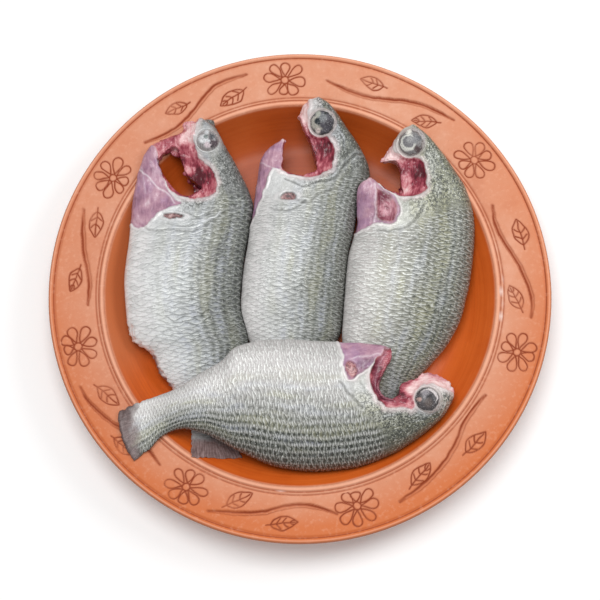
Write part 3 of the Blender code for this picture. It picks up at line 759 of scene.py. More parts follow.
def flower_strokes(angle, radius, turn, seed):
    """One flower's petals and heart, each a closed loop that a hand drew slightly differently."""
    hand = np.random.default_rng(seed)
    centre = polar(angle, radius)
    round_heart = np.linspace(0, 2 * np.pi, 15)
    strokes = [centre + FLOWER_HEART * np.column_stack([np.cos(round_heart), np.sin(round_heart)])]
    for petal in range(PETALS):
        ahead = polar(turn + 360 / PETALS * petal + hand.uniform(-4, 4))
        length = PETAL_LENGTH * hand.uniform(0.93, 1.05)
        t = np.linspace(0, 2 * np.pi, 27)
        out = (1 - np.cos(t)) / 2
        across = 1.4 * PETAL_WIDTH * hand.uniform(0.88, 1.1) * np.sin(t) * out**0.7
        tip = np.hypot(*(centre + length * ahead))
        length -= max(0.0, tip - RIM_OUTER_RADIUS + FLOWER_MARGIN)
        length -= max(0.0, RIM_INNER_RADIUS + FLOWER_MARGIN - tip)
        along = FLOWER_HEART + (length - FLOWER_HEART) * out
        side = np.array([-ahead[1], ahead[0]])
        strokes.append(centre + along[:, None] * ahead + across[:, None] * side)
    return strokes


def leaf_strokes(angle, radius, direction, share, seed):
    """One leaf: a pointed outline, a midrib that runs out as its stalk, and two or three pairs of veins."""
    hand = np.random.default_rng(seed)
    centre = polar(angle, radius)
    ahead = polar(direction)
    side = np.array([-ahead[1], ahead[0]])
    length, width = LEAF_LENGTH * share, LEAF_WIDTH * share
    start = centre - ahead * length / 2

    def at(along, across):
        return start + np.outer(along, ahead) * length + np.outer(across, side) * width

    t = np.linspace(0, 1, 15)
    edge = np.sin(np.pi * t**0.85) ** 0.9
    bend = 0.12 * np.sin(2 * np.pi * t) * hand.uniform(-1, 1)
    strokes = [at(t, edge + bend), at(t, -edge + bend)]
    rib = np.linspace(-0.16, 0.9, 9)
    strokes.append(at(rib, 0.1 * np.sin(7 * rib) * hand.uniform(-1, 1)))
    for pair in (0.22, 0.48, 0.7)[: 2 + seed % 2]:
        for hand_side in (-1, 1):
            reach = np.linspace(0, 0.8, 6)
            drift = pair + hand.uniform(-0.03, 0.03) + 0.2 * reach**1.4
            strokes.append(at(drift, hand_side * reach * np.sin(np.pi * np.clip(drift, 0.05, 0.93) ** 0.85)))
    return strokes


def engraving(points):
    """How deep the fine lines and the vines are cut at each point, as shares of their depths. The fine lines
    also carry the painted shade on the walls and ends of each vine.
    """
    fine = np.zeros(len(points))
    vine = np.zeros(len(points))
    shaky = points + 0.25 * jitter(np.column_stack([points, 0 * points[:, 0]]), 3.0, 11)
    strokes = []
    for seed, (angle, radius, turn) in enumerate(FLOWERS):
        strokes += flower_strokes(angle, radius, turn, seed)
    for seed, leaf in enumerate(LEAVES):
        strokes += leaf_strokes(*leaf, seed + 40)
    for stroke in strokes:
        distance = path_distance(shaky, stroke, 3 * LINE_WIDTH)
        fine = np.maximum(fine, bell(distance, 0.0, LINE_WIDTH))
    for stops in VINES:
        path = smooth_path([polar(*stop) for stop in stops], 10)
        for _ in range(20):
            path[1:-1] = (path[:-2] + 2 * path[1:-1] + path[2:]) / 4
        distance = path_distance(shaky, path, 4 * VINE_WIDTH)
        ends = np.minimum(np.hypot(*(points - path[0]).T), np.hypot(*(points - path[-1]).T))
        width = VINE_WIDTH * (0.35 + 0.65 * ease(0, 14, ends))
        vine = np.maximum(vine, bell(distance, 0.0, width))
        # Painted shade in the groove: dark lines along both walls, at the ends, and on one wall of each vine.
        vine_wall_shade = 0.55 * bell(distance, width * 0.95, 0.36) * (0.75 + 0.25 * ease(2, 14, ends))
        wall = path_distance(shaky - np.array(SHADED_WALL), path, 4 * VINE_WIDTH)
        vine_wall_shade = np.maximum(vine_wall_shade, bell(wall, 0.0, 0.62) * (0.5 + 0.5 * ease(0, 8, ends)))
        vine_wall_shade = np.maximum(vine_wall_shade, 0.8 * ease(9, 0, ends) * bell(distance, 0.0, 0.5))
        fine = np.maximum(fine, 0.9 * vine_wall_shade)
    return fine, vine


def make_plate():
    top = rounded(plate_top() + list(UNDERSIDE))
    rim = (top[:, 0] > RIM_INNER_RADIUS + 0.3) & (top[:, 0] < RIM_OUTER_RADIUS - 0.4)
    rim &= top[:, 1] > UPPER_SIDE
    first, last = np.flatnonzero(rim)[[0, -1]]
    radii = np.linspace(RIM_INNER_RADIUS + 0.2, RIM_OUTER_RADIUS - 0.3, RIM_ROWS)
    slope = (RIM_OUTER_HEIGHT - RIM_INNER_HEIGHT) / (RIM_OUTER_RADIUS - RIM_INNER_RADIUS)
    rows = [(r, RIM_INNER_HEIGHT + slope * (r - RIM_INNER_RADIUS), RIM_SEGMENTS) for r in radii]
    rings = [(r, z, PLAIN_SEGMENTS) for r, z in top[:first]]
    rings += rows + [(r, z, PLAIN_SEGMENTS) for r, z in top[last + 1:]]
    plate = face_outwards(turned_mesh("terracotta_plate", rings))
    points = coordinates(plate.data)
    radius = np.hypot(points[:, 0], points[:, 1])
    upper = points[:, 2] > UPPER_SIDE
    rim = upper & (radius > RIM_INNER_RADIUS + 0.4) & (radius < RIM_OUTER_RADIUS - 0.5)
    fine, vine = np.zeros(len(points)), np.zeros(len(points))
    fine[rim], vine[rim] = engraving(points[rim][:, :2])
    points[:, 2] -= fine * LINE_DEPTH + vine * VINE_DEPTH
    hand_made = rough(points, 23.0, 5) * 0.22 + rough(points, 7.0, 6) * 0.05
    points[:, 2] += np.where(points[:, 2] > 2.0, hand_made, 0.0)
    chip = np.zeros(len(points))
    for angle, at, size in CHIPS:
        away = np.hypot(*(points[:, :2] - polar(angle, at)).T) + 0.7 * rough(points, 1.3, 9)
        chip = np.maximum(chip, ease(size + 0.4, size - 0.4, away) * (points[:, 2] > UPPER_SIDE))
    points[:, 2] -= 0.4 * chip
    set_coordinates(plate.data, points)
    paint(
        plate.data,
        chip=chip,
        line=fine * np.clip(rough(points, 9.0, 8) * 0.5 + 0.95, 0.35, 1.0),
        vine=vine,
        upper=ease(18.0, 19.5, points[:, 2]) * (1 - ease(139.0, 139.7, radius)),
        well=np.where(points[:, 2] > 4.0, 1 - ease(107.8, 109.2, radius), 0.0),
    )
    plate.data.materials.append(clay())
    return plate


def clay():
    """Fired terracotta: pale and dusty on the rim, glossier and burnt orange in the well, with painted light
    and shade on its beads, grooves, engraving, walls and outer side.
    """
    g = Graph("fired_clay")
    times, plus, minus, span, value = g.times, g.plus, g.minus, g.span, g.value
    place = g.place()
    grain = g.noise(place, 900.0, 4.0, 0.7)
    cloud = g.noise(place, 28.0, 4.0, 0.6)
    patch = g.noise(place, 90.0, 3.0, 0.6)
    flecks = g.noise(place, 420.0, 3.0, 0.6)
    axes = g.nodes.new("ShaderNodeSeparateXYZ")
    g.feed(axes.inputs[0], place)
    x, y = axes.outputs[0], axes.outputs[1]
    radius = g.math("SQRT", plus(*(g.math("POWER", g.math("ABSOLUTE", axis), 2.0) for axis in (x, y))))
    turning = g.noise(g.vector(radius, 0.0, times(cloud, 0.004)), 700.0, 3.0, 0.7)

    def rings(colour, *places):
        """Coats for rings of one colour, each given as (radius, half width, share)."""
        for at, half_width, share in places:
            near = g.math("ABSOLUTE", minus(radius, at * MM))
            band = span(near, half_width * MM, 0.15 * half_width * MM)
            yield times(band, value("upper"), share), colour

    # Painted light and shade on the rim: more saturated orange towards the bottom and outer edge, darker to
    # the left.
    low = g.math("MULTIPLY_ADD", y, -4.0)
    low.node.inputs[2].default_value = 0.62
    outer = times(minus(radius, 0.110), 42.0)
    rim = g.layers(
        g.ramp(plus(times(cloud, 0.6), times(patch, 0.4)), (
            (0.30, 0.60, 0.225, 0.125), (0.45, 0.695, 0.295, 0.172), (0.55, 0.71, 0.325, 0.20),
            (0.70, 0.78, 0.41, 0.28),
        )),
        (g.math("MULTIPLY", low, outer, clamp=True), (0.65, 0.172, 0.05)),
        (span(x, 0.02, -0.14, 0.0, 0.14), (0.40, 0.13, 0.07)),
    )
    # duller pales a patch on the left wall of the well: a painted reflection of the light.
    painted_veil = times(span(x, -0.080, -0.097), span(y, -0.065, -0.025), 0.9)
    well = g.layers(
        g.ramp(plus(times(cloud, 0.55), times(turning, 0.45)), (
            (0.3, 0.50, 0.078, 0.008), (0.5, 0.65, 0.115, 0.013), (0.7, 0.74, 0.15, 0.022),
        )),
        # Painted shade darkening the upper wall of the well.
        (span(y, 0.02, 0.105, 0.0, 0.55), (0.23, 0.034, 0.004)),
        (painted_veil, (0.56, 0.16, 0.058)),
    )
    on_rim = g.math("SUBTRACT", value("upper"), value("well"), clamp=True)
    outside = minus(1.0, g.math("MAXIMUM", value("upper"), value("well")))
    color = g.layers(
        g.mix(value("well"), rim, well),
        # Painted highlights along the crests of the beads, then painted shade down the grooves beside them.
        *rings((0.92, 0.45, 0.29), (110.4, 0.9, 0.6), (138.5, 0.7, 0.5)),
        *rings((0.36, 0.075, 0.022), (109.0, 0.5, 0.45), (111.9, 0.6, 0.85), (113.5, 0.65, 0.75),
               (136.8, 0.6, 0.95)),
        # Painted shade in the vine grooves.
        (g.math("MULTIPLY", value("vine"), 0.5, clamp=True), (0.60, 0.17, 0.07)),
        (times(span(flecks, 0.50, 0.72), times(on_rim, 0.2)), (0.90, 0.49, 0.33)),
        # Painted shade along the engraved lines, and on the walls of the vines.
        (g.math("MULTIPLY", value("line"), 1.35, clamp=True), (0.27, 0.036, 0.001)),
        (times(value("chip"), 0.8), (0.86, 0.66, 0.58)),
        # Painted shade over the outer side and the underside of the plate.
        (times(outside, 0.9), (0.42, 0.15, 0.075)),
        (times(span(grain, 0.60, 0.72), 0.25), (0.30, 0.10, 0.06)),
    )
    height = plus(times(grain, 0.5), times(turning, 0.7))
    roughness = span(plus(value("well"), times(grain, 0.2)), 0.1, 1.1, 0.62, 0.40)
    return g.finish(
        base_color=color, roughness=roughness, specular_ior_level=0.32, normal=g.bump(height, 0.09, 0.6)
    )


def outline_at(fish, x, grow=0.0):
    """The middle of the fish's outline and half its width at x."""
    back, belly = curve(fish["back"], x) - grow, curve(fish["belly"], x) + grow
    return (back + belly) / 2, (belly - back) / 2


def mound(x, y, centre_x, centre_y, radius):
    """1 at the centre, falling smoothly to 0 at the radius."""
    return ease(0.0, 1.0, 1 - np.hypot(x - centre_x, y - centre_y) / radius)


def turned(x, y, degrees):
    """The point (x, y) turned about the origin."""
    angle = math.radians(degrees)
    return x * math.cos(angle) - y * math.sin(angle), x * math.sin(angle) + y * math.cos(angle)


def skin_height(fish, x, y, grow=0.0):
    """How far the skin stands above the fish's middle layer at points of its own frame."""
    middle, half = outline_at(fish, x, grow)
    across = np.clip((y - middle) / half, -1, 1)
    return section_height(fish, x, y, across, np.sqrt(1 - across**2), grow)


def section_height(fish, x, y, across, up, grow):
    """The same, from the share across the body and the share up its section."""
    share = x / fish["length"]
    thick = curve(HALF_THICKNESS, share) + grow
    front = np.clip((x - (fish["length"] - SNOUT_LENGTH)) / SNOUT_LENGTH, 0, 1)
    thick = thick * (np.sqrt(1 - front**2) * 0.92 + 0.08)
    *dip, depth = fish["dip"]
    hollow = 1 - depth * mound(x, y, *dip)
    return thick * up**SECTION_POWER * (1 - curve(BELLY_THINNING, share) * across) * hollow


def middle_height(fish, x, y):
    """The height of the fish's middle layer above the table."""
    share = x / fish["length"]
    if "lie" in fish:
        height = curve(fish["lie"], x)
    else:
        widest = max(HALF_THICKNESS, key=lambda row: row[1])
        rest = np.where(share < widest[0], curve(HALF_THICKNESS, share), widest[1])
        plate_x, plate_y = turned(x, y, fish["heading"])
        radius = np.hypot(fish["at"][0] + plate_x, fish["at"][1] + plate_y)
        drape = (plate_height(radius) - FLOOR_HEIGHT) * curve(FIN_DRAPE, x)
        height = FLOOR_HEIGHT + REST_GAP + rest + curve(HEAD_RISE, share) + drape
    height = height + math.tan(math.radians(fish["roll"])) * np.minimum(1.0, x / FLAT_TAIL) * y
    if "flap" in fish:
        *flap, rise = fish["flap"]
        height = height + rise * mound(x, y, *flap)
    return height


def place(obj, fish):
    """Moves an object made in the fish's own frame to where the fish lies on the plate."""
    obj.location = Vector((*fish["at"], 0.0)) * MM
    obj.rotation_euler = (0.0, 0.0, math.radians(fish["heading"]))
    return obj


def loft(name, fish, grow=0.0, step=BODY_STEP, ring=RING_POINTS):
    """The whole closed skin of a fish where it lies, before the gills are cut away."""
    length = fish["length"]
    body = np.arange(0.0, length - SNOUT_LENGTH, step)
    snout = length - SNOUT_LENGTH * (1 - np.sin(0.47 * np.pi * np.arange(SNOUT_RINGS + 1) / SNOUT_RINGS))
    x = np.concatenate([body, snout])[:, None]
    angle = 2 * np.pi * np.arange(ring)[None, :] / ring
    x, angle = np.broadcast_arrays(x, angle)
    middle, half = outline_at(fish, x, grow)
    across, up = np.cos(angle), np.sin(angle)
    y = middle + half * across
    z = np.sign(up) * section_height(fish, x, y, across, np.abs(up), grow)
    z = z + middle_height(fish, x, y)
    skew = fish["tail_skew"] * (y - middle) * np.clip(1 - x / SKEW_LENGTH, 0, None)
    points = np.stack([x + skew, y, z], -1).reshape(-1, 3)
    rows = len(x)
    faces = []
    for i in range(rows - 1):
        for k in range(ring):
            a, b = i * ring + k, i * ring + (k + 1) % ring
            if k < ring // 2:
                faces += [(a, b, b + ring), (a, b + ring, a + ring)]
            else:
                faces += [(a, b, a + ring), (b, b + ring, a + ring)]
    ends = [points[:ring].mean(0), points[-ring:].mean(0)]
    for first, centre in ((0, rows * ring), ((rows - 1) * ring, rows * ring + 1)):
        faces += [(first + k, first + (k + 1) % ring, centre) for k in range(ring)]
    return place(face_outwards(mesh_object(name, np.concatenate([points, ends]), faces)), fish)


def cut_prism(fish):
    """The upright prism that the missing gills and jaw leave open, with a torn edge."""
    outline = smooth_path(fish["cut"], 8, closed=True)
    torn = np.column_stack([outline, np.full(len(outline), fish["length"])])
    outline = outline + 0.35 * jitter(torn, 2.2, 21)
    n = len(outline)
    points = np.concatenate([np.column_stack([outline, np.full(n, z)]) for z in (-CUT_REACH, CUT_REACH)])
    faces = [tuple(range(n)), tuple(range(n, 2 * n))]
    faces += [(k, (k + 1) % n, n + (k + 1) % n, n + k) for k in range(n)]
    return place(face_outwards(mesh_object("cut", points, faces)), fish)


def scale_places(fish, points, across, half, middle):
    """Where each point lies in the pattern of scales: rows along the body, and places across it."""
    def size_at(depth):
        return fish["look"]["scale"] * np.clip(depth / DEEPEST_HALF, 0.3, 1.1) ** 0.5

    x = np.linspace(0, fish["length"], 400)
    size = size_at(outline_at(fish, x)[1])
    rows = np.concatenate([[0.0], np.cumsum(np.diff(x) / (ROW_PITCH * (size[1:] + size[:-1]) / 2))])
    side = np.sign(across) * (1 - np.sqrt(np.clip(1 - across**2, 0, 1)))
    girth = points[:, 1] - middle + side * curve(HALF_THICKNESS, points[:, 0] / fish["length"])
    row = np.interp(points[:, 0], x, rows) + 0.6 * rough(points, 9.0, 31) + 0.42 * rough(points, 3.2, 33)
    row = row + 0.02 * girth
    return row, girth / (SCALE_WIDTH * size_at(half)) + 0.1 * rough(points, 9.0, 32)


def scale_rise(row, column):
    """How high each point stands on its scale: 1 at the scale's free edge, falling towards the head."""
    def behind_edge(index):
        t = np.mod(column - 0.5 * np.mod(index, 2) + 0.5, 1.0) - 0.5
        return row - index - SCALE_CURVE * t * t
    index = np.floor(row)
    own = behind_edge(index)
    past = np.where(own >= 0, own, behind_edge(index - 1))
    return 1 - np.clip(past / SCALE_LENGTH, 0, 1)


def dress(fish, mesh, seed):
    """Gives the remeshed body its scales, folds, bare flesh, fin rays and the values its material reads."""
    points = coordinates(mesh)
    turn = vertex_values(mesh, "normal")
    x, y = points[:, 0], points[:, 1]
    flat = points[:, :2]
    none = np.zeros(len(points))
    middle, half = outline_at(fish, x)
    across = np.clip((y - middle) / np.maximum(half, 0.01), -1, 1)
    share = x / fish["length"]

    def bumps(size, number):
        return rough(points, size, seed + number)

    def inside(name, places):
        """How far each place is inside one of the fish's outlines, negative outside it."""
        if name not in fish:
            return none - OUTLINE_REACH
        return inside_distance(places, smooth_path(fish[name], 5, closed=True), OUTLINE_REACH)

    wavy = flat + 0.7 * jitter(points, 3.2, seed) + 0.3 * jitter(points, 1.3, seed + 2)
    flesh_in, film_in, raw_in = (inside(name, wavy) for name in ("flesh", "film", "raw"))
    wall = ease(0.75, 0.35, np.abs(turn[:, 2])) * ease(-2.0, -0.6, inside("cut", flat))
    film = ease(-0.25, 0.35, film_in)
    flesh = np.maximum(ease(-0.2, 0.5, flesh_in) * (1 - film), wall)
    flesh = np.maximum(flesh, ease(-0.5, 1.5, raw_in))
    film = film * (1 - flesh)
    lip = bell(np.maximum(flesh_in, film_in), -0.7, 0.6) * (1 - flesh) * (1 - film)
    lip *= (0.3 + 0.7 * ease(-0.25, 0.35, across)) * np.clip(0.8 + 0.6 * bumps(3.0, 12), 0, 1)

    eye_x, eye_y, eye_radius = fish["eye"]
    from_eye = np.hypot(x - eye_x, y - eye_y) / eye_radius
    lip *= 1 - 0.7 * ease(1.7, 1.3, from_eye)
    calm = fish["look"]["calm"]
    socket = ease(1.0, 0.9, from_eye)
    lid = bell(from_eye, 1.06, 0.1)
    wrinkle = np.sin(from_eye * 26 + 2.4 * bumps(3.5, 13))
    wrinkle *= ease(1.1, 1.2, from_eye) * ease(2.3, 1.4, from_eye)
    flesh *= ease(1.02, 1.12, from_eye)

    hurt, wound_rim_shade = none, none
    if fish["wound"]:
        wound_x, wound_y, wound_length, wound_width, wound_turn = fish["wound"]
        along, beside = turned(wavy[:, 0] - wound_x, wavy[:, 1] - wound_y, -wound_turn)
        around = np.hypot(along / wound_length, beside / wound_width)
        hurt = ease(1.05, 0.85, around)
        # halo is a dark ring around the wound: painted shade at the rim of its hollow.
        wound_rim_shade = bell(around, 0.95, 0.2)
        lip += 0.4 * bell(around, 1.45, 0.25)

    # fold marks creases painted dark as painted shade, and ridge raised lines painted pale as painted
    # highlights.
    fold, ridge = none.copy(), none.copy()
    for stops, depth in fish["creases"]:
        distance = path_distance(wavy, smooth_path(stops, 8), 5.0)
        line = abs(depth) * bell(distance, 0.0, 0.5)
        if depth > 0:
            fold += line
            ridge += 0.3 * depth * bell(distance, 1.4, 0.7)
        else:
            ridge += line

    fin_end, fin_reach, fin_bow = fish["fin"]
    fin = ease(fin_end, fin_end - 6.0, x + 1.8 * bumps(4.0, 4) + 0.8 * bumps(1.2, 5))
    if "frayed" in fish:
        low, high = fish["frayed"]
        ragged = ease(low, low + 3, x) * ease(high, high - 3, x)
        points[:, 1] -= ragged * ease(0.8, 1.0, across) * (0.5 + 1.3 * bumps(1.7, 14))
        strip = ragged * ease(60, 56, x) * ease(0.9, 0.97, across + 0.03 * bumps(2.0, 15))
        fin = np.maximum(fin, strip)
    torn = 0.45 * rough(points * (1.0, 1.0, 0.2), 1.5, seed + 16) + 0.4 * bumps(4.0, 17)
    points[:, 0] += ease(14.0, 0.0, x) * (fin_reach + fin_bow * (1 - across**2)) + ease(5.0, 0.0, x) * torn
    ray = (y - middle) / (6.0 + 0.62 * (TAIL_LENGTH - np.clip(x, 0, TAIL_LENGTH)))
    nape = 0.668 + 0.10 * ease(0.35, -0.9, across) + 0.012 * bumps(5.0, 6)
    bare = ease(-0.015, 0.035, share - nape)
    skin = (1 - flesh) * (1 - film)
    scaled = (1 - fin) * skin * (1 - bare) * (1 - np.clip(hurt + 0.7 * lip, 0, 1))
    scaled *= 1 - 0.5 * ease(0.86, 1.0, across)
    row, column = scale_places(fish, points, across, half, middle)

    tone = none.copy()
    for tone_x, tone_y, radius, amount in fish["tones"]:
        tone += amount * bell(np.hypot(wavy[:, 0] - tone_x, wavy[:, 1] - tone_y), 0.0, radius)

    lumps = bumps(2.6, 7) + 0.6 * bumps(1.2, 8)
    strands = rough(points * (0.45, 1.6, 1.0), 2.0, seed + 9)
    above = ease(-0.2, 0.3, turn[:, 2])
    sunk_flesh = ease(0.0, 2.2, flesh_in) * (1 - wall) * (1 - film) * ease(1.1, 1.3, from_eye)
    move = scaled * SCALE_RISE * (scale_rise(row, column) - 0.6)
    move -= above * (FLESH_SINK * sunk_flesh + RAW_SINK * ease(-0.5, 3.5, raw_in))
    move += flesh * (0.36 * lumps + 0.2 * strands) + film * (0.14 * lumps + 0.2 * strands - FILM_SINK)
    move += lip * LIP_RISE + ridge * RIDGE_RISE + lid * LID_RISE + wrinkle * WRINKLE_RISE
    move -= hurt * WOUND_SINK + fold * FOLD_SINK + socket * SOCKET_SINK
    move += bare * skin * 0.1 * lumps
    move += (1 - fin) * (0.28 * bumps(14.0, 10) + 0.1 * bumps(5.0, 11))
    points += turn * np.clip(move, DEEPEST_MOVE, HIGHEST_MOVE)[:, None]
    set_coordinates(mesh, points)

    paint(
        mesh,
        shade=(1 - across) / 2, row=row, column=column, scaled=scaled, flesh=flesh, film=film, wall=wall,
        hurt=hurt, fin=fin, ray=ray, tone=tone, raw=ease(-0.8, 2.0, raw_in), lip=np.clip(lip, 0, 1),
        # fold holds the painted shade of the creases and of the wound's rim, ridge the painted highlights of
        # the ridges.
        fold=np.clip(fold + 0.4 * wound_rim_shade, 0, 1), ridge=np.clip(ridge, 0, 1),
        ring=ease(0.4 + 0.6 * calm, 1.05, from_eye) * fish["look"]["ring"],
        head=bare * (0.2 + 0.8 * ease(1.1, calm, from_eye)),
        blush=bare * skin * ease(-3.6, -0.4, flesh_in + 0.8 * bumps(2.6, 18)),
    )


def stop(place, red, green, blue, by=1.0):
    """A ramp's place with its colour made brighter or darker by a factor."""
    return place, red * by, green * by, blue * by


def scale_pattern(g, row, column):
    """Where the surface is on its scale: how far past the scale's free edge and how far from its middle, a
    random value for the scale, how near the next edge is and how far from the middle of that edge."""
    times, plus, minus = g.times, g.plus, g.minus

    def beyond(index):
        """How far past the free edge of a row's scale the surface is, where across it, and on which scale."""
        odd = times(g.math("MODULO", plus(index, 100.0), 2.0), 0.5)
        shifted = plus(minus(column, odd), 0.5)
        t = minus(g.math("FRACT", shifted), 0.5)
        return minus(row, index, times(t, t, SCALE_CURVE)), t, g.math("FLOOR", shifted)

    index = g.math("FLOOR", row)
    before = minus(index, 1.0)
    own, own_t, own_column = beyond(index)
    under, under_t, under_column = beyond(before)
    following, following_t, _ = beyond(plus(index, 1.0))
    covers = g.math("GREATER_THAN", own, 0.0)
    bare = minus(1.0, covers)

    def pick(a, b):
        return plus(times(covers, a), times(bare, b))

    across = g.math("ABSOLUTE", pick(own_t, under_t))
    chance = g.cells(pick(index, before), pick(own_column, under_column))
    nearest = g.math("MAXIMUM", following, minus(own, times(covers, 10.0)))
    own_far, next_far = (g.math("ABSOLUTE", t) for t in (own_t, following_t))
    far = g.math("ABSOLUTE", g.math("MAXIMUM", times(bare, own_far), times(covers, next_far)))
    return pick(own, under), across, chance, nearest, far


def fish_skin(name, look):
    """Wet scaled skin that darkens from belly to back, with the bare flesh and membrane of the cuts."""
    g = Graph(name + "_skin")
    times, plus, minus, span, value = g.times, g.plus, g.minus, g.span, g.value
    place = g.place()
    row, column, scaled, shade, mark, head, ridge = (
        value(key) for key in ("row", "column", "scaled", "shade", "tone", "head", "ridge")
    )
    past, across, chance, nearest, far = scale_pattern(g, row, column)

    def woven(x, y, z, detail, roughness):
        """Noise laid out along the rows of scales."""
        return g.noise(g.vector(x, y, z), 1.0, detail, roughness)

    cloud = g.noise(place, 55.0, 4.0, 0.6)
    fine = g.noise(place, 700.0, 4.0, 0.7)
    grit = g.noise(place, 1300.0, 2.0, 0.6)
    stripes = woven(times(column, 0.9), times(row, 0.035), 0.0, 2.0, 0.5)
    weave = woven(times(row, 0.9), times(column, 2.8), 0.0, 3.0, 0.65)
    threads = woven(times(row, 2.2), times(column, 5.5), 7.0, 2.0, 0.6)
    spokes = woven(times(value("ray"), 26.0), times(row, 0.16), 0.0, 3.0, 0.6)
    grain = plus(times(scaled, threads), times(minus(1.0, scaled), grit))

    # shadow is painted shade just behind each scale's free edge, and edge a painted highlight along that
    # edge.
    shadow = times(span(nearest, -0.6, -0.05), span(weave, 0.36, 0.56, 0.2, 1.0))
    shadow = times(shadow, span(far, 0.16, 0.44, 1.0, 0.15))
    root = times(span(past, 0.7, 1.5), span(across, 0.40, 0.14), span(weave, 0.34, 0.52, 0.35, 1.0), scaled)
    edge = times(span(past, 0.6, 0.1), span(weave, 0.62, 0.42, 0.2, 1.0), span(across, 0.26, 0.44, 1.0, 0.1))

    warm, bright, net, fin, sore = (look[key] for key in ("warm", "bright", "net", "fin", "sore"))
    dark = 1 / look["back"]
    mottled = minus(plus(times(cloud, 0.5), times(stripes, 0.5)), 0.5)
    waves = g.math("COSINE", times(column, 4 * math.pi))
    banded = times(waves, scaled, span(shade, 0.5, 0.85, 0.0, look["band"]))
    toned = plus(g.math("POWER", shade, look["steep"]), times(mottled, 0.5), banded)
    side = times(span(shade, 0.15, 0.45), span(shade, 1.0, 0.8))
    speckle = times(span(grain, 0.52, 0.66), span(weave, 0.40, 0.56, 0.4, 1.0))
    spotted = span(plus(times(grit, 0.35), times(fine, 0.65)), 0.47, 0.55)
    rays = plus(times(spokes, 0.55), plus(times(fine, 0.2), times(cloud, 0.25)))
    color = g.layers(
        g.ramp(toned, (
            stop(0.05, 0.69, 0.668 - 0.02 * warm, 0.665 - 0.035 * warm, bright),
            stop(0.30, 0.51, 0.52 - 0.03 * warm, 0.525 - 0.085 * warm, bright),
            stop(0.52, 0.34, 0.355 - 0.02 * warm, 0.36 - 0.095 * warm, bright),
            stop(0.74, 0.19, 0.20 - 0.01 * warm, 0.195 - 0.065 * warm, dark),
            stop(0.96, 0.078, 0.084, 0.078 - 0.02 * warm, dark),
        )),
        # Olive and bluish stripes, each scale's tint, and a painted brown reflection of the plate on the dark
        # back.
        (times(span(stripes, 0.50, 0.62), side, 0.28 + 0.25 * warm), (0.42, 0.41, 0.25)),
        (times(span(stripes, 0.47, 0.38), side, 0.35), (0.50, 0.53, 0.62)),
        (times(scaled, span(chance, 0.0, 1.0, 0.0, 0.2)), (0.22, 0.24, 0.22)),
        (times(span(shade, 0.84, 0.97), 0.55 * warm), tuple(dark * part for part in (0.30, 0.21, 0.16))),
        (times(span(mark, 0.15, 0.9), 0.6), (0.62, 0.53, 0.52)),
        # The scales' net: paler between, dark roots, painted highlights on the free edges, painted shadow
        # behind.
        (times(span(across, 0.28, 0.46), scaled, span(shade, 0.5, 0.75, 0.0, 0.45)), (0.40, 0.42, 0.37)),
        (times(root, span(shade, 0.2, 0.85, 0.08, 0.92 * net)), (0.035, 0.04, 0.03)),
        (times(edge, scaled, span(shade, 0.95, 0.4, 0.42 * net, 0.8 * net)), (0.80, 0.82, 0.79)),
        (times(shadow, scaled, span(shade, 0.1, 0.9, 0.28, 0.9 * net)), (0.045, 0.05, 0.04)),
        (times(speckle, span(shade, 0.2, 0.8, 0.12, 0.7 * net)), (0.035, 0.04, 0.035)),
        # The head, pale on the cheek with dark freckles, and wet glints on all of the skin.
        (times(head, span(shade, 0.66, 0.34), span(cloud, 0.36, 0.56, 0.3, 0.75)), (0.66, 0.67, 0.68)),
        (times(head, look["brow"][0]), look["brow"][1]),
        (times(spotted, head, span(shade, 0.32, 0.58, 0.06, 0.85)), (0.045, 0.05, 0.045)),
        (times(span(grain, 0.40, 0.32), span(shade, 0.0, 1.0, 0.6 * net, 0.5 * net)), (0.88, 0.90, 0.88)),
        (times(span(fine, 0.40, 0.33), head, 0.65), (0.80, 0.82, 0.80)),
        # Skin beside the cuts, painted shade in folds, painted highlights on ridges, and the skin around the
        # eye.
        (times(value("blush"), 0.62), (0.64, 0.53, 0.53)),
        (times(value("fold"), 0.85), (0.055, 0.055, 0.05)),
        (times(ridge, 0.8), (0.84, 0.86, 0.88)),
        (times(value("lip"), 0.75), (0.84, 0.78, 0.78)),
        (times(value("ring"), span(fine, 0.36, 0.56, 0.5, 1.0)), look["lid"]),
        (value("fin"), g.ramp(rays, (
            stop(0.36, 0.11, 0.07, 0.068, fin), stop(0.48, 0.21, 0.138, 0.132, fin),
            stop(0.60, 0.36, 0.26, 0.255, fin),
        ))),
    )

    marbling = g.noise(g.stretch(place, 0.5, 1.8, 1.0), 300.0, 4.0, 0.6, 1.2)
    clots = g.noise(place, 140.0, 3.0, 0.55)
    streaks = g.noise(g.stretch(place, 0.35, 1.6, 1.0), 420.0, 4.0, 0.65, 0.8)
    tone = plus(times(marbling, 0.45), times(clots, 0.55), minus(times(mark, 0.24), 0.045))
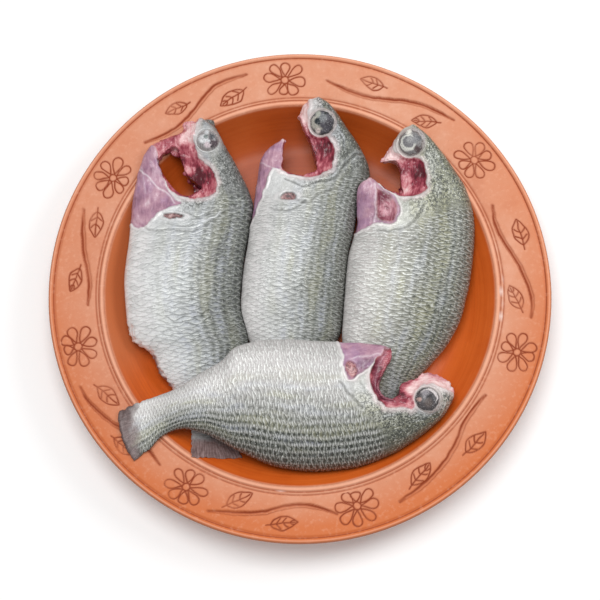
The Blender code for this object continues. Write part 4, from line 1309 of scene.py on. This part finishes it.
    # The flesh on the walls of the cut is painted a little darker: painted shade in the hollow.
    muscle = g.ramp(plus(tone, times(value("wall"), -0.05)), (
        (0.30, 0.09, 0.006, 0.014), (0.41, 0.25, 0.026, 0.048), (0.50, 0.45, 0.105, 0.135),
        (0.60, 0.65, 0.28, 0.30), (0.74, 0.84, 0.61, 0.60),
    ))
    membrane = g.layers(
        g.ramp(plus(times(clots, 0.55), times(streaks, 0.3), plus(times(mark, 0.12), 0.07)), (
            (0.34, 0.20, 0.09, 0.14), (0.47, 0.40, 0.21, 0.29), (0.57, 0.53, 0.31, 0.38),
            (0.68, 0.76, 0.60, 0.66),
        )),
        (times(span(cloud, 0.44, 0.6), 0.35), (0.34, 0.21, 0.40)),
        # Painted highlights along the membrane's ridges.
        (times(ridge, 0.75), (0.88, 0.80, 0.84)),
    )
    clotted = g.ramp(plus(times(clots, 0.5), times(fine, 0.5)), (
        (0.40, 0.06, 0.014, 0.016), stop(0.48, 0.22, 0.078, 0.078, sore), stop(0.60, 0.44, 0.27, 0.26, sore),
    ))
    color = g.layers(
        color,
        (value("film"), membrane),
        (value("flesh"), muscle),
        (times(value("raw"), 0.8), g.mix(span(tone, 0.34, 0.64), (0.20, 0.045, 0.075), (0.62, 0.31, 0.37))),
        (times(value("hurt"), 0.9), clotted),
    )

    soft = g.math("ADD", value("flesh"), value("film"), clamp=True)
    crinkle = g.noise(g.stretch(place, 1.0, 0.5, 1.0), 420.0, 4.0, 0.7)
    relief = minus(1.0, times(past, 0.5), times(shadow, 0.4))
    relief = times(relief, scaled, span(across, 0.26, 0.46, 1.0, 0.6))
    relief = plus(relief, plus(times(crinkle, 0.5), times(grain, 0.45)), times(rays, value("fin"), 0.8))
    return g.finish(
        base_color=color,
        metallic=times(minus(1.0, soft), span(chance, 0.0, 1.0, 0.05, 0.22)),
        roughness=span(plus(fine, times(soft, 0.3)), 0.3, 1.1, 0.44, 0.24),
        specular_ior_level=0.4,
        coat_weight=0.22,
        coat_roughness=0.18,
        normal=g.bump(relief, 0.35, 0.62),
    )


def ball_points(tilt, around):
    """Rings of points on a ball of radius 1, at each tilt from the z axis."""
    turn = 2 * np.pi * np.arange(around) / around
    tilt, turn = (angle.ravel() for angle in np.meshgrid(tilt, turn, indexing="ij"))
    return np.column_stack([np.sin(tilt) * np.cos(turn), np.sin(tilt) * np.sin(turn), np.cos(tilt)])


def ball_faces(rings, around):
    """The faces between rings of points, closed by the first and the last point, which follow the rings."""
    faces = []
    for first in range(0, (rings - 1) * around, around):
        for k in range(around):
            a, b = first + k, first + (k + 1) % around
            faces.append((a, b, b + around, a + around))
    top, last = rings * around, (rings - 1) * around
    faces += [(top, (k + 1) % around, k) for k in range(around)]
    faces += [(top + 1, last + k, last + (k + 1) % around) for k in range(around)]
    return faces


def lump(fish, x, y, lift, length, width, turn, seed):
    """A loose piece of flesh, with its height given above the fish's middle layer."""
    rings, around = LUMP_GRID
    ball = ball_points(np.linspace(0, np.pi, rings + 2)[1:-1], around)[:, [2, 0, 1]]
    ball = np.concatenate([ball, [(1, 0, 0), (-1, 0, 0)]]) * (length / 2, width / 2, width / 2)
    ball *= (1 + 0.22 * rough(ball + seed, 1.6, seed))[:, None]
    height = float(middle_height(fish, np.array([float(x)]), np.array([float(y)]))[0]) + lift
    ahead, beside = turned(ball[:, 0], ball[:, 1], turn)
    points = np.column_stack([x + ahead, y + beside, height + ball[:, 2]])
    return place(face_outwards(mesh_object("lump", points, ball_faces(rings, around))), fish)


def make_fish(name, fish, seed):
    body = loft(name + "_body", fish)
    combine(body, cut_prism(fish), "DIFFERENCE")
    combine(body, plate_clearance(), "DIFFERENCE")
    for lower_name, lower in FISH.items():
        if lower_name == name:
            break
        combine(body, loft(lower_name + "_clearance", lower, CLEARANCE, *CLEARANCE_GRID), "DIFFERENCE")
    for number, piece in enumerate(fish["lumps"]):
        combine(body, lump(fish, *piece, seed + number), "UNION")
    applied(
        body,
        ("REMESH", dict(mode="VOXEL", voxel_size=VOXEL * MM, use_smooth_shade=True)),
        ("SMOOTH", dict(factor=0.5, iterations=3)),
    )
    dress(fish, body.data, seed)
    body.data.shade_smooth()
    body.data.materials.clear()
    body.data.materials.append(fish_skin(name, fish["look"]))
    return body


def eye_surface():
    """The wet surface of every eye, over the colours painted on it."""
    g = Graph("wet_eye")
    place = g.place()
    tint = g.nodes.new("ShaderNodeAttribute")
    tint.attribute_name = "tint"
    cloud = g.noise(place, 500.0, 3.0, 0.6)
    threads = g.noise(place, 1500.0, 3.0, 0.7)
    color = g.layers(
        tint.outputs["Color"],
        (g.times(g.span(threads, 0.52, 0.64), 0.6), (0.04, 0.04, 0.045)),
        (g.times(g.span(threads, 0.42, 0.33), 0.4), (0.80, 0.80, 0.80)),
    )
    return g.finish(
        base_color=color, roughness=0.42, specular_ior_level=0.3, coat_weight=0.12, coat_roughness=0.05,
        normal=g.bump(cloud, 0.3, 0.5),
    )


def make_eye(name, fish, side, material):
    """A domed eye set in its socket and painted patch by patch."""
    x, y, radius = fish["eye"]
    radius *= EYE_SHARE
    sunk = EYE_HALF_HEIGHT - EYE_BULGE
    ball = radius / math.sqrt(1 - (sunk / EYE_HALF_HEIGHT) ** 2)
    rings, around = EYE_GRID
    tilt = EYE_SWEEP * np.arange(1, rings + 1) / rings
    points = ball * ball_points(tilt, around) * (1, 1, EYE_HALF_HEIGHT)
    points = np.concatenate([points, [(0, 0, ball * EYE_HALF_HEIGHT)], [(0, 0, points[-1, 2])]])
    tint = np.tile(EYE_RIM, (len(points), 1))
    share = points[:, :2] / radius + 0.07 * jitter(points, 1.6, 61)
    for ahead, below, size, soft, color in EYES[fish["eye_look"]]:
        inside = ease(size + soft, size - soft, np.hypot(share[:, 0] - ahead, share[:, 1] - below))
        inside = np.where(points[:, 2] > 0, inside, 0.0)[:, None]
        tint = tint * (1 - inside) + np.array(color) * inside
    near_x, near_y = np.array([x, x + 1.0, x]), np.array([y, y, y + 1.0])
    surface = side * skin_height(fish, near_x, near_y) + middle_height(fish, near_x, near_y)
    facing = Vector((surface[0] - surface[1], surface[0] - surface[2], 1.0)).normalized() * side
    eye = mesh_object(name, points, ball_faces(rings, around))
    layer = eye.data.attributes.new("tint", "FLOAT_COLOR", "POINT")
    layer.data.foreach_set("color", np.column_stack([tint, np.ones(len(tint))]).astype(np.float32).ravel())
    ahead = (Vector((1.0, 0.0, 0.0)) - facing * facing.x).normalized()
    beside = facing.cross(ahead) * side
    pose = Matrix((ahead, beside, facing)).transposed()
    shift = Vector((x, y, surface[0])) - facing * sunk * ball
    eye.data.transform(Matrix.Translation(shift * MM) @ pose.to_4x4())
    eye.data.materials.append(material)
    return place(face_outwards(eye), fish)


def add_piece(piece, node=None):
    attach(piece, "root")
    if node:
        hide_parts(node)


def add_light(name, place, energy, size):
    """A round soft light that shines at the plate."""
    light = bpy.data.lights.new(name, "AREA")
    light.energy = energy
    light.shape = "DISK"
    light.size = size
    lamp = add_object(name, light)
    lamp.location = place
    lamp.rotation_euler = Vector(place).to_track_quat("Z", "Y").to_euler()


def studio():
    """A pale floor, soft light from above and the right, and the photograph's camera."""
    floor_mesh = bpy.data.meshes.new("floor")
    floor_mesh.from_pydata([(-6, -6, 0), (6, -6, 0), (6, 6, 0), (-6, 6, 0)], [], [(0, 1, 2, 3)])
    floor = add_object("floor", floor_mesh)
    floor.location.z = FLOOR_DROP
    g = Graph("pale_floor")
    floor_mesh.materials.append(g.finish(
        base_color=(0.96, 0.96, 0.96), roughness=0.9, emission_color=(1.0, 1.0, 1.0), emission_strength=0.08,
    ))
    floor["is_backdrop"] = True
    for name, light in LIGHTS.items():
        add_light(name, *light)
    world = bpy.data.worlds.new("studio")
    world.use_nodes = True
    background = world.node_tree.nodes["Background"].inputs
    background["Color"].default_value = (1.0, 1.0, 1.0, 1.0)
    background["Strength"].default_value = SKY_STRENGTH
    bpy.context.scene.world = world
    bpy.context.scene.view_settings.view_transform = "Standard"
    camera = bpy.data.cameras.new("camera")
    camera.lens = LENS
    camera.sensor_width = SENSOR
    camera.clip_start = 0.01
    eye = add_object("camera", camera)
    away = Vector((0, -math.cos(math.radians(ELEVATION)), math.sin(math.radians(ELEVATION))))
    eye.location = AIM + away * DISTANCE
    eye.rotation_euler = away.to_track_quat("Z", "Y").to_euler()
    bpy.context.scene.camera = eye


def main():
    add_piece(make_plate(), "plate")
    wet_eye = eye_surface()
    for number, (name, fish) in enumerate(FISH.items()):
        add_piece(make_fish(name, fish, 100 * (number + 1)), name)
        for side, word in ((1, "upper"), (-1, "lower")):
            add_piece(make_eye(f"{name}_{word}_eye", fish, side, wet_eye))
    studio()
    sizes = [[list(map(float, corner)) for corner in box] for box in (CAD_BOX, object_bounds())]


main()
